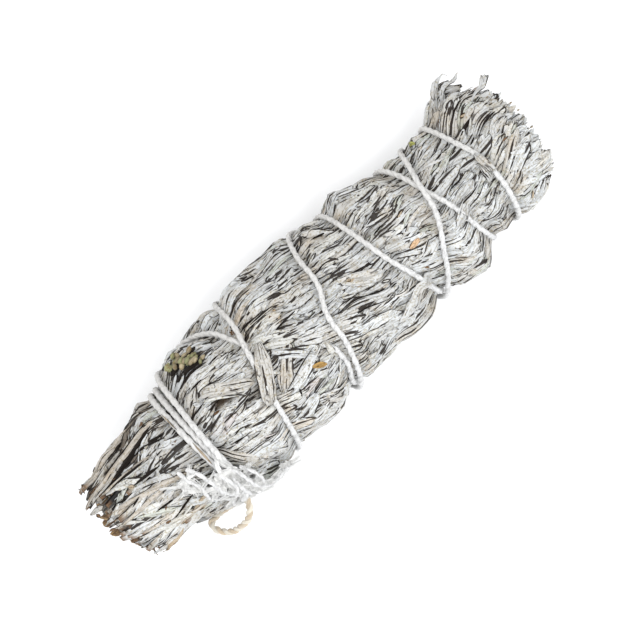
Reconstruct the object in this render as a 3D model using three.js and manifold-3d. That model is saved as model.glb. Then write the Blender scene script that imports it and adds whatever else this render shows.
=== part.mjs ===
// Sage smudge stick: dried leafy sprigs pressed side by side into a bundle, and bound with one cotton string.
// Units are millimetres. +X runs from the cut stems to the leaf tips, +Z is up, and the bundle lies on z = 0.
import * as THREE from "three";
import { mergeVertices } from "three/addons/utils/BufferGeometryUtils.js";
import Module from "manifold-3d";

const wasm = await Module();
wasm.setup();

const DEG = Math.PI / 180;
const TURN = 2 * Math.PI;

// Driving sizes of the bundle.
const AXIS_HEIGHT = 15.3; // height of the bundle's middle line above what it lies on
const SQUASH = 0.93; // the bundle is this much lower than it is wide
const AXIS_SHIFT_Y = 1.23; // the middle line lies off the box's centre, because the string's loop stands out
const AXIS_SHIFT_X = 0.82; // and the route's zero lies this far from the middle of the length

// Half width of the bundle, and how far its middle wanders to the side, from the cut stems to the leaf tips.
const HALF_WIDTHS = [
  [-64, 10.8],
  [-60, 12.7],
  [-52, 13.0],
  [-45, 14.0],
  [-37, 15.2],
  [-32, 16.9],
  [-25, 17.5],
  [-19, 17.1],
  [-8, 17.6],
  [0, 16.9],
  [10, 16.4],
  [19, 16.4],
  [25, 15.3],
  [34, 15.8],
  [40, 14.2],
  [45, 14.5],
  [50, 16.0],
  [54.5, 16.7],
  [58, 15.0],
  [61, 12.8],
  [64, 11.5],
];
const SIDE_SHIFTS = [
  [-64, 0.0],
  [-60, -0.5],
  [-45, -0.5],
  [-33, -0.9],
  [-26, 0.2],
  [-16, 0.4],
  [-8, 1.1],
  [0, 0.4],
  [8, 0.9],
  [14, 0.1],
  [20, 0.4],
  [28, -0.7],
  [34, -1.8],
  [41, -1.0],
  [48, -0.2],
  [54, 1.1],
  [60, 0.3],
];

// Sprigs: nine round the outside and three in the middle.
const OUTER_SPANS = [43, 37, 42, 38, 40, 44, 36, 41, 39]; // degrees of the round that each outer sprig takes
const FIRST_EDGE = 6; // degrees, where the first outer sprig begins at the middle of the length
const TWIST = 0.22; // degrees that the sprigs turn round the bundle for each millimetre of length
const WANDER = 4.6; // degrees that a sprig's edge wanders to each side
const WANDER_RATE = 0.075; // radians of that wandering for each millimetre of length
const WANDER_STEP = 2.4; // radians that it differs by from one edge to the next
const INNER_COUNT = 3;
const INNER_SPAN = 360 / INNER_COUNT;
const INNER_SHARE = 0.42; // the inner sprigs take this share of the bundle's radius
const INNER_ROOM = 0.86; // and fill this much of it, so that they stay clear of the outer ones
const EDGE_GAP = 0.2; // each sprig stays this far inside its own space

// The packed leaf bases in the middle of each sprig.
const CORE_START = -57;
const CORE_END = 47;
const CORE_STEPS = 9;
const INNER_CORE_STEPS = 5;
const CORE_DEPTH = 3.0; // depth under the bundle's outline
const CORE_CORNERS = 4; // corners on the side that faces out
const CORE_BEVEL = 0.9; // the first and last of them lie this much deeper

// Leaves over the sides of the bundle.
const LEAF_WIDTH = 3.1;
const LEAF_LENGTH = 17;
const LEAF_THICKNESS = 0.75;
const LEAF_SHARES = [0, 0.36, 0.72, 1]; // sections of a leaf, as shares of its length
const LEAF_WIDTHS = [0, 0.95, 0.9, 0]; // its width there
const LEAF_DEPTHS = [3.7, 0.9, 0.1, 0]; // how far its back lies under the outline there
const TIP_LIFT = 0.7; // share of a leaf's lift that reaches its tip
const MIDDLE_LIFT = 0.5; // and the section before the tip
const MOST_LIFT = 0.9;
const LEAST_LIFT = -0.1;
const ROW_START = -43;
const ROW_END = 40;
const ROW_PITCH = 12.1;
const ROW_SCATTER = 2.2;
const LEAF_PITCH = 4.6; // distance between leaves round the bundle
const FLOW_SWING = 18; // degrees that the leaves swing to each side of the bundle's length
const FLOW_SCATTER = 9;

// Leaves at the ends, in layers from the outside in. root and spread are shares of the bundle's radius.
const TIP_LAYERS = [
  { root: 0.8, spread: 1.0, count: 4, end: 59.6 },
  { root: 0.62, spread: 0.78, count: 2, end: 61.2 },
  { root: 0.5, spread: 0.55, count: 2, end: 61.2 },
];
const TIP_ROOT_X = 42;
const TIP_SCATTER = [-3.2, 1.6];
const BASE_LAYERS = [
  { root: 0.8, spread: 1.0, count: 3 },
  { root: 0.62, spread: 0.74, count: 2 },
];
const BASE_ROOT_X = -36.5;
const BASE_ENDS = [-63.4, -59];
const BASE_WIDTH = 2.3;
const INNER_TIP_LAYERS = [
  { root: 0.28, spread: 0.33, count: 4 },
  { root: 0.14, spread: 0.17, count: 2 },
];
const INNER_TIP_ROOT_X = 41;
const INNER_TIP_ENDS = [58, 63];
const INNER_TIP_WIDTH = 2.2;
const INNER_BASE_LAYER = { root: 0.32, spread: 0.34, count: 2 };
const INNER_BASE_ROOT_X = -46;
const INNER_BASE_ENDS = [-61.5, -58.5];
const INNER_BASE_WIDTH = 2.0;
const END_SHARES = [0, 0.35, 0.75, 1];
const PLAIN_WIDTHS = [0, 0.9, 0.85, 0];
const TOOTHED_WIDTHS = [0, 0.6, 1.15, 0]; // a leaf that is widest near its toothed tip

// Broad leaves pressed flat under the bundle, on which it rests.
const FLAT_LEAVES = [
  { sprig: 6, x: -25, side: -1.4, length: 13, width: 4.6 },
  { sprig: 5, x: -8, side: -6.7, length: 11, width: 3.4 },
  { sprig: 7, x: -3, side: 5.9, length: 11, width: 3.6 },
  { sprig: 6, x: 30, side: 0.6, length: 12, width: 4.6 },
];
// A flat leaf's sections, as [share of its length, share of its width, bottom, top].
const FLAT_SECTIONS = [
  [-0.25, 0.3, 2.6, 3.8],
  [0.1, 0.8, -0.4, 2.4],
  [0.55, 1.0, -0.4, 1.3],
  [0.85, 0.6, -0.4, 0.9],
  [1.0, 0.16, -0.4, 0.75],
];

// Woody stems, cut off at the lower end.
const STEM_RADIUS = 0.9;
const STEM_TAPER = 0.3; // share of the radius that a stem loses up to its top
const STEM_GAP = 0.3;
const STEM_TOP = 6;
const STEM_SIDES = 6;
const STEM_SLANT = 0.5; // how much of the cut leans along the stem
const OUTER_STEM_SHARE = 0.63; // where the stems run, as shares of the bundle's radius
const INNER_STEM_SHARE = 0.22;
const OUTER_STEM_ENDS = [-62.8, -60.4];
const INNER_STEM_ENDS = [-64.3, -62.9];
const HOLE_LENGTH = 8; // a stem's hole runs on this far past its cut end

// Cotton string.
const STRING_RADIUS = 0.75;
const STRING_SIDES = 5;
const STRING_GAP = 0.28; // clearance cut round the string where a leaf comes near it
const PRESS_GAP = 0.7; // leaves are pressed down this far below the string's own depth
const PRESS_REACH = 2.0; // and this far to each side of its middle line
const PRESS_TRIES = [-0.15, -0.1, -0.05, 0, 0.05, 0.1, 0.15]; // shares of a leaf's length
const LEAST_PRESS = 2;
const PRESS_SLOPE = 0.55; // beyond that they rise this much for each millimetre
const LOWER_SINK = 1.05; // depth of the first, lower lay of string under the outline
const UPPER_SINK = 0.25; // depth of the second lay, which crosses over the first
const STEP_DEGREES = 24; // the string bends once in this many degrees
const ROUTE_SCALE = 10; // degrees that count as much as one millimetre when the route is smoothed
const ROUTE_STEP = 0.0002;
const LOWEST_STRING = 1.0;

// The string's route as [x, degrees round the bundle]. 0 is the +Y side, 90 the top, 180 the -Y side and 270
// underneath.
const LOWER_ROUTE = [
  [-35.2, 150],
  [-36.6, 270],
  [-37.4, 385],
  [-37.3, 450],
  [-37.3, 540],
  [-36.4, 630],
  [-35.6, 735],
  [-35.8, 800],
  [-36.0, 880],
  [-34.2, 960],
  [-31.0, 1060],
  [-26.2, 1080],
  [-21.5, 1097],
  [-18.6, 1112],
  [-15.9, 1137],
  [-14.2, 1150],
  [-8.6, 1172],
  [-2.4, 1193],
  [-1.9, 1212],
  [-3.9, 1240],
  [3.0, 1330],
  [15.3, 1443],
  [17.9, 1504],
  [19.4, 1538],
  [20.8, 1558],
  [22.6, 1602],
  [26.6, 1710],
  [31.6, 1807],
  [34.0, 1848],
  [35.0, 1868],
  [36.9, 1896],
  [37.8, 1925],
  [39.3, 1975],
  [41.6, 2070],
  [44.5, 2165],
];
const UPPER_ROUTE = [
  [44.5, 5],
  [45.5, 38],
  [46.8, 65],
  [48.2, 87],
  [48.3, 110],
  [47.3, 140],
  [46.4, 168],
  [42.2, 270],
  [37.9, 365],
  [36.4, 406],
  [35.0, 427.5],
  [33.8, 446],
  [31.8, 462],
  [29.2, 480],
  [25.0, 518],
  [17.5, 630],
  [8.4, 724],
  [6.0, 768],
  [4.7, 798],
  [2.3, 812],
  [0.9, 838],
  [-0.4, 854],
  [-2.8, 885],
  [-8.3, 990],
  [-13.6, 1085],
  [-14.0, 1137],
  [-16.1, 1161],
  [-18.5, 1191],
  [-20.5, 1223],
  [-21.9, 1250],
  [-27.0, 1350],
  [-33.2, 1450],
  [-33.9, 1495],
  [-34.9, 1540],
  [-35.4, 1590],
];
// The loose loop below the knot, as [x, degrees, distance outside the outline].
const LOOP_ROUTE = [
  [-35.4, 153, 0.1],
  [-37.6, 160, 1.4],
  [-38.7, 165, 3.2],
  [-40.6, 170, 5.0],
  [-43.0, 175, 5.6],
  [-45.2, 180, 5.3],
  [-47.0, 184, 3.9],
  [-47.8, 187, 2.1],
  [-46.6, 189, 0.8],
  [-43.0, 184, 0.5],
  [-39.2, 171, 0.3],
  [-36.3, 157, 0.1],
];
const LONG_TAIL = [
  [-35.4, 153, 0.1],
  [-33.6, 157, 0.6],
  [-31.8, 161, 1.2],
  [-29.2, 163, 1.7],
  [-26.6, 160, 2.0],
];
const SHORT_TAIL = [
  [-35.4, 153, 0.1],
  [-37.4, 141, 0.9],
  [-40.0, 152, 1.0],
  [-40.2, 166, 1.1],
];
const KNOT_PLACE = [-35.4, 153, 0.2];
const KNOT_SIZE = 1.25; // radius of the knot's bends
const KNOT_LEAVES = 1.6; // how far its three bends reach out, in knot radii
const KNOT_WEAVE = 0.75; // how far it weaves up and down
const KNOT_STEPS = 10;
const KNOT_SHARE = 0.52; // each half of the knot runs a little past the middle

// A spike of dried flower buds that sticks out of one sprig.
const BUD_PLACE = [-26.5, 22];
const BUD_SPIKE_LENGTH = 7;
const BUD_RADIUS = 1.05;
const BUD_COUNT = 9;
const BUD_TAPER = 0.3;
const BUD_ROWS = [
  [-3.6, -0.3],
  [3.2, -0.3],
  [0, 0.2],
]; // degrees off the stalk and height over the outline, bud by bud
const BUD_STALK_RADIUS = 0.6;
const BUD_STALK_DEPTH = 0.5;
const BUD_GAP = 0.4;

// Colours of the leaves, sprig by sprig.
const LEAF_COLOURS = [0xc9c8c1, 0xc2c3bb, 0xcdcac3, 0xbfc1b8];

const SEED = 71;
const GROUND = [200, 100, 20];
const MERGE_DISTANCE = 1e-4;

// A small seeded random source.
function randomSource(seed) {
  let state = seed >>> 0;
  return () => {
    state = (state + 0x6d2b79f5) >>> 0;
    let t = Math.imul(state ^ (state >>> 15), state | 1);
    t ^= t + Math.imul(t ^ (t >>> 7), t | 61);
    return ((t ^ (t >>> 14)) >>> 0) / 4294967296;
  };
}
const random = randomSource(SEED);
const between = (low, high) => low + (high - low) * random();

// Reads a smooth value out of a short list of [x, value] pairs.
function along(list, x) {
  const next = list.findIndex(([at]) => at >= x);
  if (next === 0) {
    return list[0][1];
  }
  if (next < 0) {
    return list.at(-1)[1];
  }
  const [x0, v0] = list[next - 1];
  const [x1, v1] = list[next];
  return v0 + (v1 - v0) * THREE.MathUtils.smoothstep(x, x0, x1);
}
const halfWidth = (x) => along(HALF_WIDTHS, x);

// The point at a distance r from the bundle's middle line, at x and an angle in degrees round it.
function place(x, degrees, r) {
  const a = degrees * DEG;
  return new THREE.Vector3(
    x + AXIS_SHIFT_X,
    AXIS_SHIFT_Y + along(SIDE_SHIFTS, x) + r * Math.cos(a),
    AXIS_HEIGHT + SQUASH * r * Math.sin(a),
  );
}

// Turns a closed three.js geometry into a solid, with its faces pointing out.
function solid(geometry) {
  const bare = geometry.clone();
  bare.deleteAttribute("normal");
  bare.deleteAttribute("uv");
  const merged = mergeVertices(bare, MERGE_DISTANCE);
  const make = (triVerts) =>
    new wasm.Manifold(
      new wasm.Mesh({
        numProp: 3,
        vertProperties: new Float32Array(merged.attributes.position.array),
        triVerts,
      }),
    );
  const faces = new Uint32Array(merged.index.array);
  const made = make(faces);
  if (made.volume() > 0) {
    return made;
  }
  for (let i = 0; i < faces.length; i += 3) {
    const second = faces[i + 1];
    faces[i + 1] = faces[i + 2];
    faces[i + 2] = second;
  }
  return make(faces);
}

// Joins a list of solids, halving the list so that each join is small.
function join(solids) {
  let left = solids;
  while (left.length > 1) {
    const next = [];
    for (let i = 0; i + 1 < left.length; i += 2) {
      next.push(left[i].add(left[i + 1]));
    }
    if (left.length % 2) {
      next.push(left.at(-1));
    }
    left = next;
  }
  return left[0];
}

// Keeps the largest body of a solid and drops the scraps that cutting left.
function largest(made) {
  const bodies = made.decompose();
  return bodies.reduce((a, b) => (a.volume() > b.volume() ? a : b));
}

// A named mesh of a solid.
function meshOf(name, made, material) {
  const { vertProperties, triVerts, numProp } = made.getMesh();
  const positions = new Float32Array((vertProperties.length / numProp) * 3);
  for (let i = 0; i < positions.length; i++) {
    positions[i] = vertProperties[Math.floor(i / 3) * numProp + (i % 3)];
  }
  const geometry = new THREE.BufferGeometry();
  geometry.setAttribute("position", new THREE.BufferAttribute(positions, 3));
  geometry.setIndex(new THREE.BufferAttribute(new Uint32Array(triVerts), 1));
  geometry.computeVertexNormals();
  const mesh = new THREE.Mesh(geometry, material);
  mesh.name = name;
  return mesh;
}

// A closed body through rings of corners: ringAt(step) gives the corners of one ring.
function loft(steps, sides, ringAt) {
  const geometry = new THREE.CylinderGeometry(1, 1, 1, sides, steps);
  const positions = geometry.attributes.position;
  const rings = [];
  for (let i = 0; i <= steps; i++) {
    rings.push(ringAt(i));
  }
  const middles = rings.map((ring) =>
    ring
      .reduce((sum, p) => sum.add(p), new THREE.Vector3())
      .divideScalar(sides),
  );
  for (let i = 0; i < positions.count; i++) {
    const corner = new THREE.Vector3().fromBufferAttribute(positions, i);
    const step = Math.round((0.5 - corner.y) * steps);
    const turn = Math.atan2(corner.x, corner.z) / TURN;
    const side = (Math.round(turn * sides) + sides) % sides;
    const onAxis = Math.hypot(corner.x, corner.z) < 0.5;
    const p = onAxis ? middles[step] : rings[step][side];
    positions.setXYZ(i, p.x, p.y, p.z);
  }
  return solid(geometry);
}

// A tube of a round section along points, with one step from each point to the next.
function tube(points, radius) {
  const curve = new THREE.CatmullRomCurve3(points, false, "centripetal");
  const corners = [];
  for (let i = 0; i < STRING_SIDES; i++) {
    const a = (i / STRING_SIDES) * TURN;
    corners.push(new THREE.Vector2(radius * Math.cos(a), radius * Math.sin(a)));
  }
  return solid(
    new THREE.ExtrudeGeometry(new THREE.Shape(corners), {
      steps: points.length - 1,
      extrudePath: curve,
      bevelEnabled: false,
    }),
  );
}

// Smooth [x, degrees] stations of a route, one every STEP_DEGREES.
function stations(route) {
  const curve = new THREE.CatmullRomCurve3(
    route.map(([x, a]) => new THREE.Vector3(x, a / ROUTE_SCALE, 0)),
    false,
    "centripetal",
  );
  const first = route[0][1];
  const turned = route.at(-1)[1] - first;
  const count = Math.round(turned / STEP_DEGREES);
  const found = [];
  let u = 0;
  for (let i = 0; i <= count; i++) {
    const wanted = first + (turned * i) / count;
    while (u < 1 && curve.getPoint(u).y * ROUTE_SCALE < wanted) {
      u = Math.min(1, u + ROUTE_STEP);
    }
    found.push([curve.getPoint(u).x, wanted]);
  }
  return found;
}
const lowerStations = stations(LOWER_ROUTE);
const upperStations = stations(UPPER_ROUTE);

// The string's middle line through its stations, which stays clear of what the bundle lies on.
function layPoints(found, sink) {
  return found.map(([x, a]) => {
    const p = place(x, a, halfWidth(x) - sink);
    p.z = Math.max(p.z, LOWEST_STRING);
    return p;
  });
}
const outside = (route) =>
  route.map(([x, a, out]) => place(x, a, halfWidth(x) + out));

// The knot's own bends: three of them, woven over and under each other and laid flat on the bundle.
class KnotCurve extends THREE.Curve {
  getPoint(share) {
    const [x, degrees, out] = KNOT_PLACE;
    const a = degrees * DEG;
    const t = share * TURN;
    const lengthwise = new THREE.Vector3(1, 0, 0);
    const round = new THREE.Vector3(0, -Math.sin(a), Math.cos(a));
    const outwards = new THREE.Vector3(0, Math.cos(a), Math.sin(a));
    const across = Math.sin(t) + KNOT_LEAVES * Math.sin(2 * t);
    const up = Math.cos(t) - KNOT_LEAVES * Math.cos(2 * t);
    return place(x, degrees, halfWidth(x) + out)
      .addScaledVector(lengthwise, KNOT_SIZE * across)
      .addScaledVector(round, KNOT_SIZE * up)
      .addScaledVector(outwards, -KNOT_WEAVE * Math.sin(3 * t));
  }
}

// The knot in two halves that overlap, so that neither crosses itself.
function knotSolid(radius) {
  const knot = new KnotCurve();
  const halves = [0, 0.5].map((from) => {
    const points = [];
    for (let i = 0; i <= KNOT_STEPS; i++) {
      points.push(knot.getPoint((from + (i / KNOT_STEPS) * KNOT_SHARE) % 1));
    }
    return tube(points, radius);
  });
  return join(halves);
}

// The whole string, or the space that it needs where the radius is larger.
function stringSolid(radius) {
  return join([
    tube(layPoints(lowerStations, LOWER_SINK), radius),
    tube(layPoints(upperStations, UPPER_SINK), radius),
    tube(outside(LOOP_ROUTE), radius),
    tube(outside(LONG_TAIL), radius),
    tube(outside(SHORT_TAIL), radius),
    knotSolid(radius),
  ]);
}

// The string's stretches from station to station, as pairs of [x, degrees, depth].
function stretches(found, sink) {
  const ends = found.map(([x, a]) => [x, a, sink]);
  return ends.slice(1).map((end, i) => [ends[i], end]);
}
const wound = [
  ...stretches(lowerStations, LOWER_SINK),
  ...stretches(upperStations, UPPER_SINK),
];

// How far under the outline a leaf has to stay at (x, degrees), so that it passes below the string.
function pressedDepth(x, degrees) {
  const r = halfWidth(x);
  let depth = -LEAST_PRESS;
  for (const [[x0, a0, sink], [x1, a1]] of wound) {
    const turns = Math.round((degrees - (a0 + a1) / 2) / 360);
    const point = new THREE.Vector3(x, (degrees - turns * 360) * DEG * r, 0);
    const from = new THREE.Vector3(x0, a0 * DEG * r, 0);
    const to = new THREE.Vector3(x1, a1 * DEG * r, 0);
    const nearest = new THREE.Line3(from, to).closestPointToPoint(
      point,
      true,
      new THREE.Vector3(),
    );
    const beyond = Math.max(0, nearest.distanceTo(point) - PRESS_REACH);
    const deepest = sink + STRING_RADIUS + PRESS_GAP;
    depth = Math.max(depth, deepest - beyond * PRESS_SLOPE);
  }
  return depth;
}

// Edges of the outer sprigs' spaces, straight from one section of the cores to the next.
const edges = [FIRST_EDGE];
for (const span of OUTER_SPANS) {
  edges.push(edges.at(-1) + span);
}
const coreStop = (step) =>
  CORE_START + ((CORE_END - CORE_START) * step) / CORE_STEPS;
function edgeAtStop(index, step) {
  const x = coreStop(step);
  const phase = WANDER_STEP * (index % OUTER_SPANS.length);
  const wave = Math.sin(WANDER_RATE * x + phase);
  return edges[index] + TWIST * x + WANDER * wave;
}
function edgeAt(index, x) {
  const stops = ((x - CORE_START) / (CORE_END - CORE_START)) * CORE_STEPS;
  const step = Math.floor(stops);
  return THREE.MathUtils.lerp(
    edgeAtStop(index, step),
    edgeAtStop(index, step + 1),
    stops - step,
  );
}
const gapDegrees = (r) => EDGE_GAP / r / DEG;

// Each sprig's space: the angles that it lies between at x.
const outerSpace = (index) => ({
  low: (x) => edgeAt(index, x),
  high: (x) => edgeAt(index + 1, x),
});
const innerSpace = (index) => ({
  low: (x) => index * INNER_SPAN + TWIST * x,
  high: (x) => (index + 1) * INNER_SPAN + TWIST * x,
});

// The packed leaf bases of an outer sprig.
function outerCore(space) {
  return loft(CORE_STEPS, CORE_CORNERS + 2, (step) => {
    const x = coreStop(step);
    const r = halfWidth(x) - CORE_DEPTH;
    const from = space.low(x) + gapDegrees(r);
    const to = space.high(x) - gapDegrees(r);
    const ring = [];
    for (let i = 0; i < CORE_CORNERS; i++) {
      const share = i / (CORE_CORNERS - 1);
      const outermost = share > 0 && share < 1;
      const a = THREE.MathUtils.lerp(from, to, share);
      ring.push(place(x, a, outermost ? r : r - CORE_BEVEL));
    }
    const inner = halfWidth(x) * INNER_SHARE + EDGE_GAP;
    ring.push(place(x, space.high(x) - gapDegrees(inner), inner));
    ring.push(place(x, space.low(x) + gapDegrees(inner), inner));
    return ring;
  });
}

// The packed leaf bases of an inner sprig, which reach to the bundle's middle line.
function innerCore(space) {
  const start = CORE_START + 1;
  const end = CORE_END - 1;
  return loft(INNER_CORE_STEPS, CORE_CORNERS + 1, (step) => {
    const x = start + ((end - start) * step) / INNER_CORE_STEPS;
    const r = halfWidth(x) * INNER_SHARE * INNER_ROOM - EDGE_GAP;
    const from = space.low(x) + gapDegrees(r);
    const to = space.high(x) - gapDegrees(r);
    const ring = [place(x, (from + to) / 2, 2 * EDGE_GAP)];
    for (let i = 0; i < CORE_CORNERS; i++) {
      const share = i / (CORE_CORNERS - 1);
      ring.push(place(x, THREE.MathUtils.lerp(from, to, share), r));
    }
    return ring;
  });
}

// A leaf blade of three sides, with a ridge along its back, from a sunk root to its tip. sectionAt(i) gives the
// section's x, its degrees round the bundle, its back's distance from the middle line and its half width.
function blade(sections, sectionAt) {
  const geometry = new THREE.SphereGeometry(1, 3, sections - 1);
  const positions = geometry.attributes.position;
  const rows = [];
  for (let i = 0; i < sections; i++) {
    const [x, a, r, half] = sectionAt(i);
    const low = r - LEAF_THICKNESS;
    const side = half / Math.max(r, 1) / DEG;
    const point = place(x, a, r - LEAF_THICKNESS / 2);
    rows.push(
      half > 0
        ? [place(x, a - side, low), place(x, a, r), place(x, a + side, low)]
        : [point, point, point],
    );
  }
  for (let i = 0; i < positions.count; i++) {
    const p = rows[Math.floor(i / 4)][(i % 4) % 3];
    positions.setXYZ(i, p.x, p.y, p.z);
  }
  return solid(geometry);
}

// Keeps a leaf of half width inside its sprig's space at x and a distance r from the middle line.
function keepInside(space, a, x, r, half) {
  const margin = (half + 1.5 * EDGE_GAP) / Math.max(r, 1) / DEG;
  const low = space.low(x) + margin;
  const high = space.high(x) - margin;
  return low < high ? THREE.MathUtils.clamp(a, low, high) : (low + high) / 2;
}

// A leaf on the outside of a sprig, from (x0, a0), with its heading in degrees from +X towards the next sprig.
function surfaceLeaf(space, x0, a0, heading) {
  const length = LEAF_LENGTH * between(0.85, 1.1);
  const width = LEAF_WIDTH * between(0.85, 1.15);
  const lift = between(LEAST_LIFT, MOST_LIFT);
  const lifts = [0, 0, MIDDLE_LIFT * lift, TIP_LIFT * lift];
  const turned = heading * DEG;
  const at = (share) => [
    x0 + length * share * Math.cos(turned),
    a0 + (length * share * Math.sin(turned)) / halfWidth(x0) / DEG,
  ];
  return blade(LEAF_SHARES.length, (i) => {
    const share = LEAF_SHARES[i];
    // The middle sections move to where the string presses hardest.
    const inMiddle = i > 0 && i < LEAF_SHARES.length - 1;
    const tries = inMiddle ? PRESS_TRIES.map((t) => share + t) : [share];
    const depths = tries.map((t) => pressedDepth(...at(t)));
    const pressed = Math.max(...depths);
    const chosen = pressed > 0.3 ? tries[depths.indexOf(pressed)] : share;
    const [x, wanted] = at(chosen);
    const free = LEAF_DEPTHS[i] - lifts[i];
    const r = halfWidth(x) - Math.max(free, i ? pressed : free);
    const half = (LEAF_WIDTHS[i] * width) / 2;
    return [x, keepInside(space, wanted, x, r - LEAF_THICKNESS, half), r, half];
  });
}

// A leaf that stands out of an end of the bundle, from a root inside it.
function endLeaf(space, a0, layer, from, to, width, widths) {
  return blade(END_SHARES.length, (i) => {
    const x = THREE.MathUtils.lerp(from, to, END_SHARES[i]);
    const half = (widths[i] * width) / 2;
    const reach = halfWidth(x) * (i ? layer.spread : layer.root);
    const pressed = halfWidth(x) - pressedDepth(x, a0);
    const r = i ? Math.min(reach, pressed) : reach;
    return [x, keepInside(space, a0, x, r - LEAF_THICKNESS, half), r, half];
  });
}

// Angles for count leaves across a space at x.
function spread(space, x, count) {
  const found = [];
  for (let i = 0; i < count; i++) {
    const share = (i + between(0.3, 0.7)) / count;
    found.push(THREE.MathUtils.lerp(space.low(x), space.high(x), share));
  }
  return found;
}

// Rows of leaves over the side of an outer sprig.
function sideLeaves(index, space) {
  const parts = [];
  const rows = Math.floor((ROW_END - ROW_START) / ROW_PITCH);
  for (let row = 0; row <= rows; row++) {
    const x = ROW_START + row * ROW_PITCH;
    const room = OUTER_SPANS[index] * DEG * halfWidth(x);
    const count = Math.max(2, Math.round(room / LEAF_PITCH));
    for (let i = 0; i < count; i++) {
      const share = (i + (row % 2 ? 0.3 : 0.7)) / count;
      const x0 = x + between(-ROW_SCATTER, ROW_SCATTER);
      const a0 = THREE.MathUtils.lerp(space.low(x0), space.high(x0), share);
      const swing = FLOW_SWING * Math.sin(0.13 * x0 + 0.07 * a0 + index);
      const heading = swing + between(-FLOW_SCATTER, FLOW_SCATTER);
      parts.push(surfaceLeaf(space, x0, a0, heading));
    }
  }
  return parts;
}

// Leaf tips that flare out of the upper end, and long narrow leaf bases that run out to the cut end.
function outerEndLeaves(index, space) {
  const parts = [];
  for (const layer of TIP_LAYERS) {
    spread(space, TIP_ROOT_X + 8, layer.count).forEach((a, i) => {
      const toothed = (i + index) % 3 === 0;
      const widths = toothed ? TOOTHED_WIDTHS : PLAIN_WIDTHS;
      const end = layer.end + between(...TIP_SCATTER);
      parts.push(endLeaf(space, a, layer, TIP_ROOT_X, end, LEAF_WIDTH, widths));
    });
  }
  for (const layer of BASE_LAYERS) {
    for (const a of spread(space, BASE_ENDS[1], layer.count)) {
      const end = between(...BASE_ENDS);
      parts.push(
        endLeaf(space, a, layer, BASE_ROOT_X, end, BASE_WIDTH, PLAIN_WIDTHS),
      );
    }
  }
  return parts;
}

function innerEndLeaves(space) {
  const parts = [];
  for (const layer of INNER_TIP_LAYERS) {
    spread(space, INNER_TIP_ENDS[0], layer.count).forEach((a, i) => {
      const widths = i % 2 ? PLAIN_WIDTHS : TOOTHED_WIDTHS;
      const end = between(...INNER_TIP_ENDS);
      const from = INNER_TIP_ROOT_X;
      parts.push(endLeaf(space, a, layer, from, end, INNER_TIP_WIDTH, widths));
    });
  }
  const layer = INNER_BASE_LAYER;
  for (const a of spread(space, INNER_BASE_ENDS[1], layer.count)) {
    const end = between(...INNER_BASE_ENDS);
    const from = INNER_BASE_ROOT_X;
    parts.push(
      endLeaf(space, a, layer, from, end, INNER_BASE_WIDTH, PLAIN_WIDTHS),
    );
  }
  return parts;
}

// A broad leaf pressed flat on what the bundle lies on. Its root is sunk in the bundle.
function flatLeaf(leaf) {
  return loft(FLAT_SECTIONS.length - 1, 4, (step) => {
    const [share, wide, bottom, top] = FLAT_SECTIONS[step];
    const x = leaf.x + AXIS_SHIFT_X + leaf.length * share;
    const y = leaf.side + AXIS_SHIFT_Y;
    const half = (leaf.width * wide) / 2;
    return [
      new THREE.Vector3(x, y - half, bottom),
      new THREE.Vector3(x, y + half, bottom),
      new THREE.Vector3(x, y + half, top),
      new THREE.Vector3(x, y - half, top),
    ];
  });
}

// A woody stem, or the hole that it stands in. Both bend at the same places.
function stemSolid(sprig, end, radius, past, top) {
  const stops = [end - past, end, (end + STEM_TOP) / 2, top];
  const sections = past > 0 ? stops : stops.slice(1);
  return loft(sections.length - 1, STEM_SIDES, (step) => {
    const x = sections[step];
    const middle = place(
      x,
      (sprig.space.low(x) + sprig.space.high(x)) / 2,
      halfWidth(x) * sprig.stemShare,
    );
    const thinner = (STEM_TAPER * Math.max(0, x - end)) / (top - end);
    const r = radius * (1 - thinner);
    const ring = [];
    for (let i = 0; i < STEM_SIDES; i++) {
      const t = (i / STEM_SIDES) * TURN;
      const slant = step === 0 ? STEM_SLANT * Math.cos(t) : 0;
      const corner = new THREE.Vector3(slant, r * Math.cos(t), r * Math.sin(t));
      ring.push(corner.add(middle));
    }
    return ring;
  });
}

// Round buds packed along a short stalk, or the space that they need where extra is above 0.
function budsSolid(extra) {
  const parts = [];
  const stalk = [];
  for (let i = 0; i < BUD_COUNT; i++) {
    const share = i / (BUD_COUNT - 1);
    const x = BUD_PLACE[0] + (share - 0.5) * BUD_SPIKE_LENGTH;
    const [aside, height] = BUD_ROWS[i % BUD_ROWS.length];
    const p = place(x, BUD_PLACE[1] + aside, halfWidth(x) + height);
    const size = BUD_RADIUS * (1 - BUD_TAPER * share) + extra;
    const bud = new THREE.IcosahedronGeometry(size, 0);
    parts.push(solid(bud.translate(p.x, p.y, p.z)));
    if (i % 4 === 0) {
      stalk.push(place(x, BUD_PLACE[1], halfWidth(x) - BUD_STALK_DEPTH));
    }
  }
  parts.push(tube(stalk, BUD_STALK_RADIUS + extra));
  return join(parts);
}

const dull = (color, roughness) =>
  new THREE.MeshStandardMaterial({ color, roughness, metalness: 0 });
const LEAF_MATERIALS = LEAF_COLOURS.map((colour) => dull(colour, 0.92));
const STEM_MATERIAL = dull(0x9b8468, 0.85);
const STRING_MATERIAL = dull(0xf1eee6, 0.95);
const BUD_MATERIAL = dull(0xa7a678, 0.9);

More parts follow.
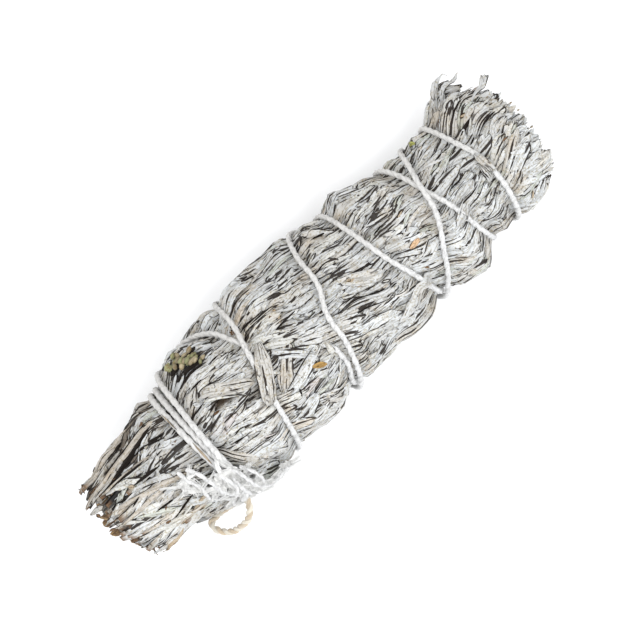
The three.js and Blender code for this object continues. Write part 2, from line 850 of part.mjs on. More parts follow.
// All sprigs, outer ones first. Each knows its space, its leaves and where its stem runs.
function allSprigs() {
  const sprigs = OUTER_SPANS.map((_, index) => {
    const space = outerSpace(index);
    return {
      space,
      stemShare: OUTER_STEM_SHARE,
      stemEnds: OUTER_STEM_ENDS,
      parts: [
        outerCore(space),
        ...sideLeaves(index, space),
        ...outerEndLeaves(index, space),
        ...FLAT_LEAVES.filter((leaf) => leaf.sprig === index).map(flatLeaf),
      ],
    };
  });
  for (let index = 0; index < INNER_COUNT; index++) {
    const space = innerSpace(index);
    sprigs.push({
      space,
      stemShare: INNER_STEM_SHARE,
      stemEnds: INNER_STEM_ENDS,
      parts: [innerCore(space), ...innerEndLeaves(space)],
    });
  }
  return sprigs;
}

// The sprigs, each with a hole for its stem, room for the string and buds, and nothing below z = 0.
const bundle = new THREE.Group();
const stringSpace = stringSolid(STRING_RADIUS + STRING_GAP);
const budSpace = budsSolid(BUD_GAP);
const ground = solid(
  new THREE.BoxGeometry(...GROUND).translate(0, 0, -GROUND[2] / 2),
);
allSprigs().forEach((sprig, n) => {
  const name = "sprig_" + String(n + 1).padStart(2, "0");
  const end = between(...sprig.stemEnds);
  const stem = stemSolid(sprig, end, STEM_RADIUS, 0, STEM_TOP);
  const hole = stemSolid(
    sprig,
    end,
    STEM_RADIUS + STEM_GAP,
    HOLE_LENGTH,
    STEM_TOP + STEM_GAP,
  );
  const foliage = join(sprig.parts)
    .subtract(hole)
    .subtract(stringSpace)
    .subtract(budSpace)
    .subtract(ground);
  const material = LEAF_MATERIALS[n % LEAF_MATERIALS.length];
  bundle.add(meshOf(name + "_leaves", largest(foliage), material));
  bundle.add(meshOf(name + "_stem", stem, STEM_MATERIAL));
});
bundle.add(meshOf("flower_buds", budsSolid(0), BUD_MATERIAL));
bundle.add(meshOf("string", stringSolid(STRING_RADIUS), STRING_MATERIAL));

export default bundle;
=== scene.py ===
"""Sage smudge stick: dried leafy sprigs pressed side by side and bound with one white cotton string.

Stations and distances in the lists are millimetres along and round the bundle, as in the part's source, and they
are turned to metres where a point is placed.
"""

import logging
import math
from dataclasses import dataclass, field
from enum import Enum

import bmesh
import bpy
import numpy as np
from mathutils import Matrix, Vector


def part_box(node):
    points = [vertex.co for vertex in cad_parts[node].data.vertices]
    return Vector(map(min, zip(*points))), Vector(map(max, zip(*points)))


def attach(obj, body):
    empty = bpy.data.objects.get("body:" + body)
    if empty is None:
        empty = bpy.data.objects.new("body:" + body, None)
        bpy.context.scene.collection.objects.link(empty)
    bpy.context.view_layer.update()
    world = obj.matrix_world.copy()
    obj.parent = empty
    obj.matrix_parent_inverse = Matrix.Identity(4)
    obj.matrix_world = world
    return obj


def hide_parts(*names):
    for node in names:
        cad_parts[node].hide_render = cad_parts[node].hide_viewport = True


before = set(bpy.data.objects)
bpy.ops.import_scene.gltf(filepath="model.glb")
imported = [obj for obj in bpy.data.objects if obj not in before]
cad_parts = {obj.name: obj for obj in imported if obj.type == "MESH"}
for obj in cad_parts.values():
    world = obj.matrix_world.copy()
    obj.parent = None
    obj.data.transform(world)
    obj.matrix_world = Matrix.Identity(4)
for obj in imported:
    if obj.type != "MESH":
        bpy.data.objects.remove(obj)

log = logging.getLogger("smudge_stick")

MM = 0.001
FULL_TURN = 360.0
# An edge distance so great that the leaf finish paints no shadow line there.
NO_EDGE = 9.0

Pairs = tuple[tuple[float, float], ...]
Triples = tuple[tuple[float, float, float], ...]
Colour = tuple[float, float, float]

HALF_WIDTHS: Pairs = (
    (-64, 10.8), (-60, 12.7), (-52, 13.0), (-45, 14.0), (-37, 15.2), (-32, 16.9), (-25, 17.5), (-19, 17.1),
    (-8, 17.6), (0, 16.9), (10, 16.4), (19, 16.4), (25, 15.3), (34, 15.8), (40, 14.2), (45, 14.5), (50, 16.0),
    (54.5, 16.7), (58, 16.8), (61, 16.3), (64, 15.5),
)
SIDE_SHIFTS: Pairs = (
    (-64, 0.0), (-60, -0.5), (-45, -0.5), (-33, -0.9), (-26, 0.2), (-16, 0.4), (-8, 1.1), (0, 0.4), (8, 0.9),
    (14, 0.1), (20, 0.4), (28, -0.7), (34, -1.8), (41, -1.0), (48, -0.2), (54, 1.1), (60, 0.3),
)

# The string's route as (x, degrees round the bundle), from the knot up to the tips, and down again over it.
LOWER_ROUTE: Pairs = (
    (-35.2, 150), (-36.6, 270), (-37.4, 385), (-37.3, 450), (-37.3, 540), (-36.4, 630), (-35.6, 735),
    (-35.8, 800), (-36.0, 880), (-34.2, 960), (-31.0, 1060), (-26.2, 1080), (-21.5, 1097), (-18.6, 1112),
    (-15.9, 1137), (-14.2, 1150), (-8.6, 1172), (-2.4, 1193), (-1.9, 1212), (-3.9, 1240), (3.0, 1330),
    (15.3, 1443), (17.9, 1504), (19.4, 1538), (20.8, 1558), (22.6, 1602), (26.6, 1710), (31.6, 1807),
    (34.0, 1848), (35.0, 1868), (36.9, 1896), (37.8, 1925), (39.3, 1975), (41.6, 2070), (44.5, 2165),
)
UPPER_ROUTE: Pairs = (
    (44.5, 5), (45.5, 38), (46.8, 65), (48.2, 87), (48.3, 110), (47.3, 140), (46.4, 168), (42.2, 270),
    (37.9, 365), (36.4, 406), (35.0, 427.5), (33.8, 446), (31.8, 462), (29.2, 480), (25.0, 518), (17.5, 630),
    (8.4, 724), (6.0, 768), (4.7, 798), (2.3, 812), (0.9, 838), (-0.4, 854), (-2.8, 885), (-8.3, 990),
    (-13.6, 1085), (-14.0, 1137), (-16.1, 1161), (-18.5, 1191), (-20.5, 1223), (-21.9, 1250), (-27.0, 1350),
    (-33.2, 1450), (-33.9, 1495), (-34.9, 1540), (-35.4, 1590),
)
# Loose stretches as (x, degrees, distance outside the outline).
LOOP_ROUTE: Triples = (
    (-35.4, 153, 0.1), (-37.6, 160, 1.4), (-38.7, 165, 3.2), (-40.6, 170, 5.0), (-43.0, 175, 5.6),
    (-45.2, 180, 5.3), (-47.0, 184, 3.9), (-47.8, 187, 2.1), (-46.6, 189, 0.8), (-43.0, 184, 0.5),
    (-39.2, 171, 0.3), (-36.3, 157, 0.1),
)
LONG_TAIL: Triples = (
    (-35.4, 153, 0.1), (-33.6, 157, 0.6), (-31.8, 161, 1.2), (-29.2, 163, 1.7), (-26.6, 160, 2.0),
)
SHORT_TAIL: Triples = (
    (-35.4, 153, 0.1), (-37.4, 141, 0.9), (-40.0, 152, 1.0), (-40.2, 166, 1.1),
)
# Loosened strands of the knot.
KNOT_STRANDS: tuple[Triples, ...] = (
    ((-43.8, 97, 0.3), (-43.5, 108, 0.8), (-42.6, 120, 1.0), (-42.9, 134, 0.9), (-40.3, 147, 0.9)),
    ((-42.1, 100, 0.4), (-40.9, 109, 1.0), (-40.3, 122, 1.3), (-40.0, 135, 1.4), (-38.1, 148, 1.5), (-36.3, 146, 1.8)),
    ((-35.4, 119, 0.9), (-34.6, 128, 1.6), (-34.3, 138, 1.9), (-34.0, 147, 1.9), (-32.0, 159, 1.6), (-30.8, 170, 1.0)),
    ((-36.3, 129, 1.2), (-36.6, 145, 2.0), (-36.0, 161, 1.6), (-35.4, 170, 0.8)),
    ((-38.6, 117, 0.8), (-37.5, 127, 1.6), (-37.5, 140, 1.8), (-39.7, 148, 1.4), (-41.2, 140, 1.1)),
    ((-33.6, 124, 0.8), (-32.3, 134, 1.4), (-32.3, 147, 1.6), (-34.5, 162, 1.5), (-37.2, 168, 0.9)),
    ((-40.8, 115, 0.6), (-40.0, 126, 1.2), (-40.3, 141, 1.2), (-40.0, 158, 0.8)),
)

# How the leaves run on the side that the photograph shows, as (x, side, degrees from the bundle's length towards
# the lower right).
FLOW: Triples = (
    (-42.5, 8.3, -5), (-31.1, 12.2, -19), (-31.1, 7.6, -4), (-25.7, 6.9, 0), (-26.5, 1.6, 18), (-31.0, -3.0, 20),
    (-28.7, -8.3, 30), (-34.8, -11.4, 25), (-22.7, 13.0, -5), (-13.6, 13.0, 0), (-2.6, 11.9, -2), (-6.7, 3.2, 25),
    (-7.4, -2.2, 30), (-13.5, -5.2, -5), (-10.4, -11.3, -10), (-8.9, -15.9, 2), (4.7, 1.0, 15), (7.8, -5.1, 22),
    (12.3, 8.6, -5), (19.1, 10.9, -8), (13.9, -8.1, 20), (19.9, 4.1, 5), (26.0, 1.1, -5), (30.6, 7.2, -5),
    (38.2, 4.2, -3), (35.2, -1.9, -5), (29.9, -11.9, 5), (38.3, -11.1, 2), (53.4, 7.3, -15), (51.9, 11.8, -26),
    (56.5, 1.2, -12), (55.0, -6.4, -8), (52.8, -13.3, 5), (-57.7, 5.2, -3), (-57.7, -0.9, 5), (-54.6, -7.0, 8),
    (-47.0, -8.4, 10), (-47.7, -13.8, 8),
)


def along(pairs: Pairs, x: np.ndarray) -> np.ndarray:
    """Reads smooth values out of a short list of (x, value) pairs.

    Args:
        pairs: stations in rising order.
        x: where to read.

    Returns:
        The values, eased from each station to the next.
    """
    at, values = np.array(pairs, float).T
    x = np.asarray(x, float)
    i = np.clip(np.searchsorted(at, x) - 1, 0, len(at) - 2)
    t = np.clip((x - at[i]) / (at[i + 1] - at[i]), 0, 1)
    return values[i] + (values[i + 1] - values[i]) * t * t * (3 - 2 * t)


@dataclass(frozen=True)
class Bundle:
    """The bundle's outline and the sprigs' shares of it, as in the part's source."""

    axis_height: float = 15.3
    squash: float = 0.93
    shift_x: float = 0.82
    shift_y: float = 1.23
    spans: tuple[float, ...] = (43, 37, 42, 38, 40, 44, 36, 41, 39)
    first_edge: float = 6
    twist: float = 0.22
    wander: float = 4.6
    wander_rate: float = 0.075
    wander_step: float = 2.4
    inner_count: int = 3
    inner_share: float = 0.42
    floor_gap: float = 0.12
    floor_ease: float = 0.45

    def half_width(self, x: np.ndarray) -> np.ndarray:
        """Half the bundle's width at x."""
        return along(HALF_WIDTHS, x)

    def place(self, x: np.ndarray, degrees: np.ndarray, out: np.ndarray) -> np.ndarray:
        """Points at a distance from the outline.

        Args:
            x: stations along the bundle, in millimetres.
            degrees: angles round it.
            out: distance outside the outline, in millimetres.

        Returns:
            Points in metres, eased so that none lies under the floor.
        """
        a = np.radians(degrees)
        r = self.half_width(x) + out
        y = self.shift_y + along(SIDE_SHIFTS, x) + r * np.cos(a)
        z = self.axis_height + self.squash * r * np.sin(a)
        eased = self.floor_gap + self.floor_ease * np.logaddexp(0, (z - self.floor_gap) / self.floor_ease)
        return np.stack([x + self.shift_x, y, eased], -1) * MM

    def gloom(self, x: np.ndarray, degrees: np.ndarray) -> np.ndarray:
        """How loose the leaves lie at a place, and how much painted shade they get, from 0 to 1: most on the upper left
        and at the butt.
        """
        butt = np.clip((-36 - x) / 10, 0, 1)
        return np.clip(np.cos(np.radians(degrees - 25)), 0, 1) * (0.6 + 0.4 * butt)

    def angle_of(self, x: float, side: float) -> float:
        """The angle, on the upper half, of a place that lies a given distance to the side of the middle line."""
        shift = float(along(SIDE_SHIFTS, x))
        share = (side - shift) / float(self.half_width(x))
        return math.degrees(math.acos(max(-0.998, min(0.998, share))))

    def edges(self, x: float) -> np.ndarray:
        """The angles at x where one outer sprig ends and the next begins."""
        starts = self.first_edge + np.concatenate([[0], np.cumsum(self.spans)])
        phase = self.wander_step * (np.arange(len(starts)) % len(self.spans))
        return starts + self.twist * x + self.wander * np.sin(self.wander_rate * x + phase)

    def owner(self, x: float, degrees: float, share: float = 1.0) -> int:
        """The sprig that a place belongs to, the outer ones first.

        Args:
            x: station along the bundle.
            degrees: angle round it.
            share: distance from the middle line, as a share of the bundle's radius.

        Returns:
            The sprig's number, from 0.
        """
        if share < self.inner_share:
            turned = (degrees - self.twist * x) % FULL_TURN
            return len(self.spans) + int(turned // (FULL_TURN / self.inner_count))
        edges = self.edges(x)
        turned = edges[0] + (degrees - edges[0]) % FULL_TURN
        return min(int(np.searchsorted(edges, turned, side="right")) - 1, len(self.spans) - 1)


BUNDLE = Bundle()


def only_select(obj: bpy.types.Object) -> None:
    """Selects one object and nothing else."""
    bpy.ops.object.select_all(action="DESELECT")
    obj.select_set(True)
    bpy.context.view_layer.objects.active = obj


def take_shape(obj: bpy.types.Object) -> tuple[np.ndarray, np.ndarray, np.ndarray]:
    """Reads a modelled shape and removes its object, so that copies can be laid from it.

    Args:
        obj: the modelled object.

    Returns:
        Its corners, the corner numbers of all faces in a row, and each face's corner count.
    """
    mesh = obj.data
    corners = np.array([v.co for v in mesh.vertices], float)
    sizes = np.array([len(p.vertices) for p in mesh.polygons], np.int32)
    ring = np.concatenate([np.array(p.vertices, np.int32) for p in mesh.polygons])
    bpy.data.objects.remove(obj)
    bpy.data.meshes.remove(mesh)
    return corners, ring, sizes


@dataclass
class Gathered:
    """Copies of modelled shapes, gathered into the mesh of one piece."""

    points: list[np.ndarray] = field(default_factory=list)
    tints: list[np.ndarray] = field(default_factory=list)
    blades: list[np.ndarray] = field(default_factory=list)
    rings: list[np.ndarray] = field(default_factory=list)
    sizes: list[np.ndarray] = field(default_factory=list)
    count: int = 0

    def add(self, points: np.ndarray, tints: np.ndarray, blades: np.ndarray, ring: np.ndarray,
            sizes: np.ndarray) -> None:
        """Adds one copy.

        Args:
            points: its corners in metres.
            tints: its colours, corner by corner, and where wanted the edge distance in millimetres for painted shadow
                lines.
            blades: across, along and a number of its own, corner by corner.
            ring: the corner numbers of its faces.
            sizes: each face's corner count.
        """
        if tints.shape[1] == 3:
            tints = np.c_[tints, np.full(len(tints), NO_EDGE)]
        self.points.append(points)
        self.tints.append(tints)
        self.blades.append(blades)
        self.rings.append(ring + self.count)
        self.sizes.append(sizes)
        self.count += len(points)

    def triangles(self) -> int:
        """How many triangles the faces make."""
        return int(sum((s - 2).sum() for s in self.sizes))

    def piece(self, name: str, material: bpy.types.Material, smooth_degrees: float = 50) -> bpy.types.Object:
        """Makes the piece.

        Args:
            name: the piece's name.
            material: its finish.
            smooth_degrees: edges that turn more than this stay sharp.

        Returns:
            The object, at the origin, with its place in its mesh.
        """
        mesh = bpy.data.meshes.new(name)
        points = np.concatenate(self.points)
        ring = np.concatenate(self.rings).astype(np.int32)
        sizes = np.concatenate(self.sizes)
        mesh.vertices.add(len(points))
        mesh.vertices.foreach_set("co", points.astype(np.float32).ravel())
        mesh.loops.add(len(ring))
        mesh.loops.foreach_set("vertex_index", ring)
        mesh.polygons.add(len(sizes))
        starts = np.concatenate([[0], np.cumsum(sizes)[:-1]]).astype(np.int32)
        mesh.polygons.foreach_set("loop_start", starts)
        mesh.update(calc_edges=True)
        tints = np.concatenate(self.tints)
        colours = mesh.attributes.new("tint", "FLOAT_COLOR", "POINT")
        colours.data.foreach_set("color", tints.astype(np.float32).ravel())
        blades = mesh.attributes.new("blade", "FLOAT_VECTOR", "POINT")
        blades.data.foreach_set("vector", np.concatenate(self.blades).astype(np.float32).ravel())
        mesh.materials.append(material)
        obj = bpy.data.objects.new(name, mesh)
        bpy.context.scene.collection.objects.link(obj)
        only_select(obj)
        bpy.ops.object.shade_smooth_by_angle(angle=math.radians(smooth_degrees))
        return obj


class LeafKind(Enum):
    """The leaf shapes that the bundle holds."""

    LANCE = "lance"
    SPOON = "spoon"
    TOOTHED = "toothed"
    BROAD = "broad"
    STRIP = "strip"
    SCRAP = "scrap"
    FOLDED = "folded"
    WRINKLED = "wrinkled"


# Where a wrinkled leaf's two folds run, as a share of its half width.
FOLD_AT = 0.383


@dataclass(frozen=True)
class LeafCut:
    """One leaf shape, modelled once: its width along its length, and its tip."""

    stations: tuple[float, ...]
    widths: tuple[float, ...]
    teeth: float = 0.0
    wrinkle: float = 0.0

    def model(self) -> tuple[np.ndarray, np.ndarray, np.ndarray]:
        """Models the leaf flat, one long and one to each side.

        Returns:
            Corners, the corner numbers of its faces, and each face's corner count.
        """
        bpy.ops.object.select_all(action="DESELECT")
        bpy.ops.mesh.primitive_circle_add(
            vertices=16 if self.wrinkle else 8, radius=1.0, fill_type="NGON", rotation=(math.pi / 2, 0, math.pi / 2)
        )
        obj = bpy.context.object
        bpy.ops.object.transform_apply(location=False, rotation=True, scale=False)
        bpy.ops.object.mode_set(mode="EDIT")
        bm = bmesh.from_edit_mesh(obj.data)
        self.pick(bm, lambda co: co.z < -0.3 and abs(co.y) > 0.3)
        bpy.ops.mesh.dissolve_verts()
        if self.wrinkle:
            bm = bmesh.from_edit_mesh(obj.data)
            self.pick(bm, lambda co: co.z > 0 and abs(abs(co.y) - FOLD_AT) < 0.1)
            bpy.ops.transform.translate(value=(0, 0, -self.wrinkle))
        bpy.ops.mesh.select_all(action="SELECT")
        bpy.ops.transform.resize(value=(1, self.widths[0], 1), center_override=(0, 0, 0))
        for step in range(1, len(self.stations)):
            here, before = self.stations[step], self.stations[step - 1]
            bpy.ops.mesh.extrude_region_move(TRANSFORM_OT_translate={"value": (here - before, 0, 0)})
            ratio = self.widths[step] / self.widths[step - 1]
            bpy.ops.transform.resize(value=(1, ratio, 1), center_override=(here, 0, 0))
        if self.teeth:
            bm = bmesh.from_edit_mesh(obj.data)
            notch = self.widths[-1] * 0.3
            self.pick(bm, lambda co: co.x > 0.999 and notch < abs(co.y) < self.widths[-1] * 0.95)
            bpy.ops.transform.translate(value=(-self.teeth, 0, 0))
            bm = bmesh.from_edit_mesh(obj.data)
            self.pick(bm, lambda co: co.x > 0.999 and co.z < -0.5)
            bpy.ops.transform.translate(value=(-self.teeth, 0, 0))
        bpy.ops.mesh.select_all(action="SELECT")
        bpy.ops.mesh.normals_make_consistent(inside=False)
        bpy.ops.object.mode_set(mode="OBJECT")
        corners, ring, sizes = take_shape(obj)
        # Angles round the bundle run clockwise seen from the tips, so the blade is turned over to keep its faces out.
        corners[:, 1] *= -1
        return corners, ring, sizes

    @staticmethod
    def pick(bm: bmesh.types.BMesh, wanted: "callable") -> None:
        """Selects the corners that a test picks, and nothing else."""
        bpy.ops.mesh.select_all(action="DESELECT")
        bpy.ops.mesh.select_mode(type="VERT")
        for vertex in bm.verts:
            vertex.select_set(wanted(vertex.co))
        bm.select_flush_mode()


CUTS = {
    LeafKind.LANCE: LeafCut(
        (0, 0.08, 0.18, 0.29, 0.40, 0.51, 0.62, 0.73, 0.84, 0.94, 1.0),
        (0.22, 0.30, 0.55, 0.82, 0.97, 1.0, 0.96, 0.84, 0.62, 0.32, 0.06),
    ),
    LeafKind.SPOON: LeafCut(
        (0, 0.1, 0.22, 0.34, 0.46, 0.57, 0.68, 0.79, 0.89, 0.96, 1.0),
        (0.2, 0.24, 0.34, 0.5, 0.7, 0.88, 0.99, 1.0, 0.85, 0.52, 0.14),
    ),
    LeafKind.TOOTHED: LeafCut(
        (0, 0.1, 0.22, 0.34, 0.46, 0.58, 0.69, 0.79, 0.87, 0.93, 1.0),
        (0.18, 0.22, 0.3, 0.4, 0.52, 0.66, 0.8, 0.92, 1.0, 1.02, 0.8),
        teeth=0.09,
    ),
    LeafKind.BROAD: LeafCut(
        (0, 0.07, 0.16, 0.26, 0.37, 0.48, 0.59, 0.7, 0.8, 0.89, 0.96, 1.0),
        (0.25, 0.5, 0.78, 0.94, 1.0, 1.0, 0.98, 0.93, 0.84, 0.66, 0.4, 0.1),
    ),
    LeafKind.STRIP: LeafCut(
        (0, 0.1, 0.2, 0.3, 0.4, 0.5, 0.6, 0.7, 0.8, 0.9, 1.0),
        (0.85, 0.95, 1.0, 1.0, 0.96, 0.94, 0.96, 0.95, 0.86, 0.6, 0.12),
    ),
    LeafKind.FOLDED: LeafCut(
        (0, 0.06, 0.13, 0.2, 0.28, 0.36, 0.45, 0.54, 0.62, 0.7, 0.78, 0.86, 0.93, 1.0),
        (0.35, 0.62, 0.7, 0.92, 0.86, 1.0, 0.93, 1.02, 0.9, 0.95, 0.76, 0.7, 0.42, 0.12),
    ),
    LeafKind.WRINKLED: LeafCut(
        (0, 0.07, 0.16, 0.26, 0.37, 0.48, 0.59, 0.7, 0.8, 0.89, 0.96, 1.0),
        (0.4, 0.62, 0.8, 0.95, 0.97, 1.0, 0.95, 0.96, 0.84, 0.72, 0.42, 0.12),
        wrinkle=0.8,
    ),
    LeafKind.SCRAP: LeafCut((0, 0.25, 0.55, 0.85, 1.0), (0.4, 0.9, 1.0, 0.7, 0.25)),
}


@dataclass(frozen=True)
class Leaf:
    """One leaf: its shape, where its root is, and how it lies.

    Lengths are millimetres and angles degrees. The heading is measured from the bundle's length towards rising
    angles, bend is how much it turns along the leaf, arch is how far its middle stands above its edges, and share
    is set for a leaf inside an end of the bundle, as the distance from the middle line. The last field narrows the
    painted shadow lines that the finish draws along its edges and folds: the higher it is, the narrower they are.
    """

    kind: LeafKind
    x: float
    degrees: float
    heading: float
    length: float
    half: float
    tone: Colour
    bend: float = 0.0
    arch: float = 0.3
    fold: float = 0.0
    roll: float = 0.0
    lift: float = 0.0
    sink: float = 1.2
    thickness: float = 0.16
    share: float | None = None
    fan: float = 0.0
    cut_end: bool = False
    clean: float = 1.0


@dataclass
class LeafBed:
    """The heights that the leaves have reached all round the bundle, on which each new leaf comes to lie."""

    cell: float = 0.35
    first: float = -66.0
    last: float = 66.0
    round_cells: int = 288
    floor: float = -7.4
    bulge: float = 0.45
    evening: float = 5.0
    samples: int = 49
    press_reach: float = 1.1
    press_slope: float = 0.8
    press_gap: float = 0.1
    string_radius: float = 0.72
    relief: float = 0.5
    # Painted shade of leaves that lie deep among the others: the depths at which it is full and at which it begins, and
    # how much the upper left deepens it.
    dark_depth: float = 2.0
    light_depth: float = 0.75
    gloom_depth: float = 0.3
    widest: float = 19.9
    # Painted shadow lines along leaf edges and folds: the edge distance of the backs, the factor that narrows the
    # lines, and how much less it narrows them on the upper left.
    back_edge: float = 0.2
    line_ease: float = 1.35
    gloom_lines: float = 0.8
    # The colour share that the painted depth shade keeps at its darkest.
    dark_share: Colour = (0.10, 0.075, 0.055)
    stray: float = 0.6
    over_string: float = 0.5
    stiffness: float = 1.3
    pieces: dict[int, Gathered] = field(default_factory=dict)
    waiting: list[tuple] = field(default_factory=list)

    def __post_init__(self) -> None:
        """Starts with a bare bed, and models each leaf shape once."""
        self.columns = int((self.last - self.first) / self.cell)
        self.height = np.full((self.columns, self.round_cells), self.floor)
        self.limit = np.full((self.columns, self.round_cells), self.bulge)
        self.settled = False
        self.shapes = {kind: cut.model() for kind, cut in CUTS.items()}

    def cells(self, x: np.ndarray, degrees: np.ndarray) -> tuple[np.ndarray, np.ndarray]:
        """The bed's cells under some places."""
        i = np.clip(((x - self.first) / self.cell).astype(int), 0, self.columns - 1)
        j = (np.floor(degrees / FULL_TURN * self.round_cells)).astype(int) % self.round_cells
        return i, j

    def press(self, x: np.ndarray, degrees: np.ndarray, out: np.ndarray) -> None:
        """Makes the leaves pass under the string.

        Args:
            x: stations of the string's middle line.
            degrees: its angles.
            out: its middle line's distance outside the outline.
        """
        reach = 5.0
        span = int(reach / self.cell)
        for cx, ca, co in zip(x, degrees, out):
            i0 = int((cx - self.first) / self.cell)
            r = float(BUNDLE.half_width(cx))
            j0 = int(math.floor(ca / FULL_TURN * self.round_cells))
            steps_i = np.arange(max(0, i0 - span), min(self.columns, i0 + span + 1))
            steps_j = np.arange(j0 - span - 2, j0 + span + 3)
            dx = self.first + (steps_i + 0.5) * self.cell - cx
            da = ((steps_j + 0.5) / self.round_cells * FULL_TURN - ca) * math.pi / 180 * r
            away = np.hypot(dx[:, None], da[None, :])
            rise = np.maximum(0, away - self.press_reach) * self.press_slope
            bound = co - self.string_radius - self.press_gap + rise
            at = np.ix_(steps_i, steps_j % self.round_cells)
            self.limit[at] = np.minimum(self.limit[at], bound)

    def evened_top(self) -> np.ndarray:
        """The slowly changing height that the upper leaves have reached round each cell."""
        mean = self.blurred(self.height, self.evening)
        square = self.blurred(self.height**2, self.evening)
        return mean + 1.5 * np.sqrt(np.maximum(square - mean**2, 0))

    def blurred(self, values: np.ndarray, spread: float) -> np.ndarray:
        """Spreads the values of the bed's cells evenly over their surroundings.

        Args:
            values: one value for each cell.
            spread: how far they spread, in millimetres.

        Returns:
            The spread values.
        """
        pad = 40
        wide = np.pad(values, ((pad, pad), (0, 0)), mode="edge")
        waves_x = np.fft.fftfreq(wide.shape[0])[:, None]
        waves_a = np.fft.fftfreq(wide.shape[1])[None, :]
        smooth = np.exp(-2 * (math.pi * spread / self.cell) ** 2 * (waves_x**2 + waves_a**2))
        return np.fft.ifft2(np.fft.fft2(wide) * smooth).real[pad:-pad]

    def pressed(self, x: np.ndarray, degrees: np.ndarray, out: np.ndarray) -> np.ndarray:
        """Heights after the leaves were pressed into the outline and under the string, in the order that they had."""
        at = self.cells(x, degrees)
        base = self.floor - 0.6
        limit = self.limit[at]
        room = (limit - base) / (self.top[at] - base)
        lowered = base + (out - base) * np.minimum(room, 1.3)
        return np.where(out > base, limit - (limit - lowered) * self.relief, out)

    def settle(self, x: np.ndarray, degrees: np.ndarray, out: np.ndarray) -> None:
        """Presses the bed, adds the waiting leaves to their sprigs with painted shade where they lie deep, and lays the
        string on the bed.

        Args:
            x: stations of the string's middle line.
            degrees: its angles.
            out: its middle line's distance outside the outline.
        """
        self.top = self.evened_top()
        u = np.linspace(0, 1, self.samples)
        crest = np.full_like(self.height, self.floor)
        laid = []
        for line, v_u, px, pa, up in [waiting[:5] for waiting in self.waiting]:
            height = np.interp(v_u, u, self.stiff(*line))
            limit = self.limit[self.cells(px, pa)]
            near = np.clip(self.bulge - limit, 0, 1)
            final = np.minimum(height + up, limit + self.stray * (1 - near) + self.over_string * near)
            np.maximum.at(crest, self.cells(px, pa), final)
            laid.append(final)
        crest = self.local_crest(crest)
        # Painted shade: each leaf is darkened by how far it lies under the local crest of its neighbours.
        for waiting, final in zip(self.waiting, laid):
            _, _, px, pa, _, owner, tint, blade, ring, sizes = waiting
            under = crest[self.cells(px, pa)] - final
            self.keep(owner, px, pa, final, self.shaded(tint, under, px, pa), blade, ring, sizes)
        self.waiting.clear()
        i, j = np.meshgrid(np.arange(self.columns), np.arange(self.round_cells), indexing="ij")
        cx = self.first + (i + 0.5) * self.cell
        ca = (j + 0.5) / self.round_cells * FULL_TURN
        self.height = self.pressed(cx.ravel(), ca.ravel(), self.height.ravel()).reshape(self.height.shape)
        for aside in (-0.6, -0.3, 0.0, 0.3, 0.6):
            at = self.cells(x + aside, degrees)
            rise = math.sqrt(max(0.0, self.string_radius**2 - aside**2))
            np.maximum.at(self.height, at, out + rise)
        self.settled = True

    def stiff(self, x: np.ndarray, degrees: np.ndarray, base: np.ndarray) -> np.ndarray:
        """A leaf's height along its length after the pressing, without bends sharper than a dry leaf takes.

        Args:
            x: stations along the leaf.
            degrees: its angles there.
            base: its height before the pressing.

        Returns:
            Its height after it.
        """
        height = self.pressed(x, degrees, base)
        step = max(0.02, float(np.hypot(np.diff(x), np.diff(degrees) * 0.27).mean()))
        reach = int(2.2 * self.stiffness / step) + 1
        weights = np.exp(-0.5 * (np.arange(-reach, reach + 1) * step / self.stiffness) ** 2)
        padded = np.concatenate([
            height[0] + (height[0] - height[min(reach, len(height) - 1):0:-1]),
            height,
            height[-1] + (height[-1] - height[-2:-2 - min(reach, len(height) - 1):-1]),
        ])
        reach = min(reach, len(height) - 1)
        weights = weights[(len(weights) - 2 * reach - 1) // 2:][:2 * reach + 1]
        return np.convolve(padded, weights / weights.sum(), mode="valid")

    def local_crest(self, crest: np.ndarray) -> np.ndarray:
        """The height of the leaves that stand out round each cell.

        Args:
            crest: the highest leaf of each cell.

        Returns:
            The highest of the cells round it, spread a little.
        """
        reach = 3
        wide = np.pad(crest, ((reach, reach), (0, 0)), mode="edge")
        along_x = np.max([wide[k:k + len(crest)] for k in range(2 * reach + 1)], axis=0)
        both = np.max([np.roll(along_x, k, axis=1) for k in range(-reach, reach + 1)], axis=0)
        return self.blurred(both, 1.0)

    def shaded(self, tint: np.ndarray, under: np.ndarray, x: np.ndarray, degrees: np.ndarray) -> np.ndarray:
        """Paints shade into a leaf: darker and browner where it lies deep among the others.

        Args:
            tint: its colours, corner by corner.
            under: how far each corner lies under the leaves round it.
            x: stations of its corners.
            degrees: their angles.

        Returns:
            The darkened colours.
        """
        gloom = BUNDLE.gloom(x, degrees)
        deep = self.dark_depth - self.gloom_depth * gloom
        shallow = self.light_depth - 0.3 * self.gloom_depth * gloom
        share = np.maximum(np.clip((deep - under) / (deep - shallow), 0, 1), np.clip((x - 52) / 4, 0, 1))[:, None]
        dark = np.array(self.dark_share)[None, :]
        return np.c_[tint[:, :3] * (dark + (1 - dark) * share * share * (3 - 2 * share)), tint[:, 3:]]

    def keep(self, owner: int, px: np.ndarray, pa: np.ndarray, out: np.ndarray, tint: np.ndarray,
             blade: np.ndarray, ring: np.ndarray, sizes: np.ndarray) -> None:
        """Adds a leaf to its sprig.

        Args:
            owner: the sprig's number.
            px: stations of its corners.
            pa: angles of its corners.
            out: their distance outside the outline.
            tint: its colours, corner by corner.
            blade: across, along and its own number.
            ring: the corner numbers of its faces.
            sizes: each face's corner count.
        """
        points = BUNDLE.place(px, pa, out)
        points[:, 1] = np.clip(points[:, 1], -self.widest * MM, self.widest * MM)
        self.pieces.setdefault(owner, Gathered()).add(points, tint, blade, ring, sizes)

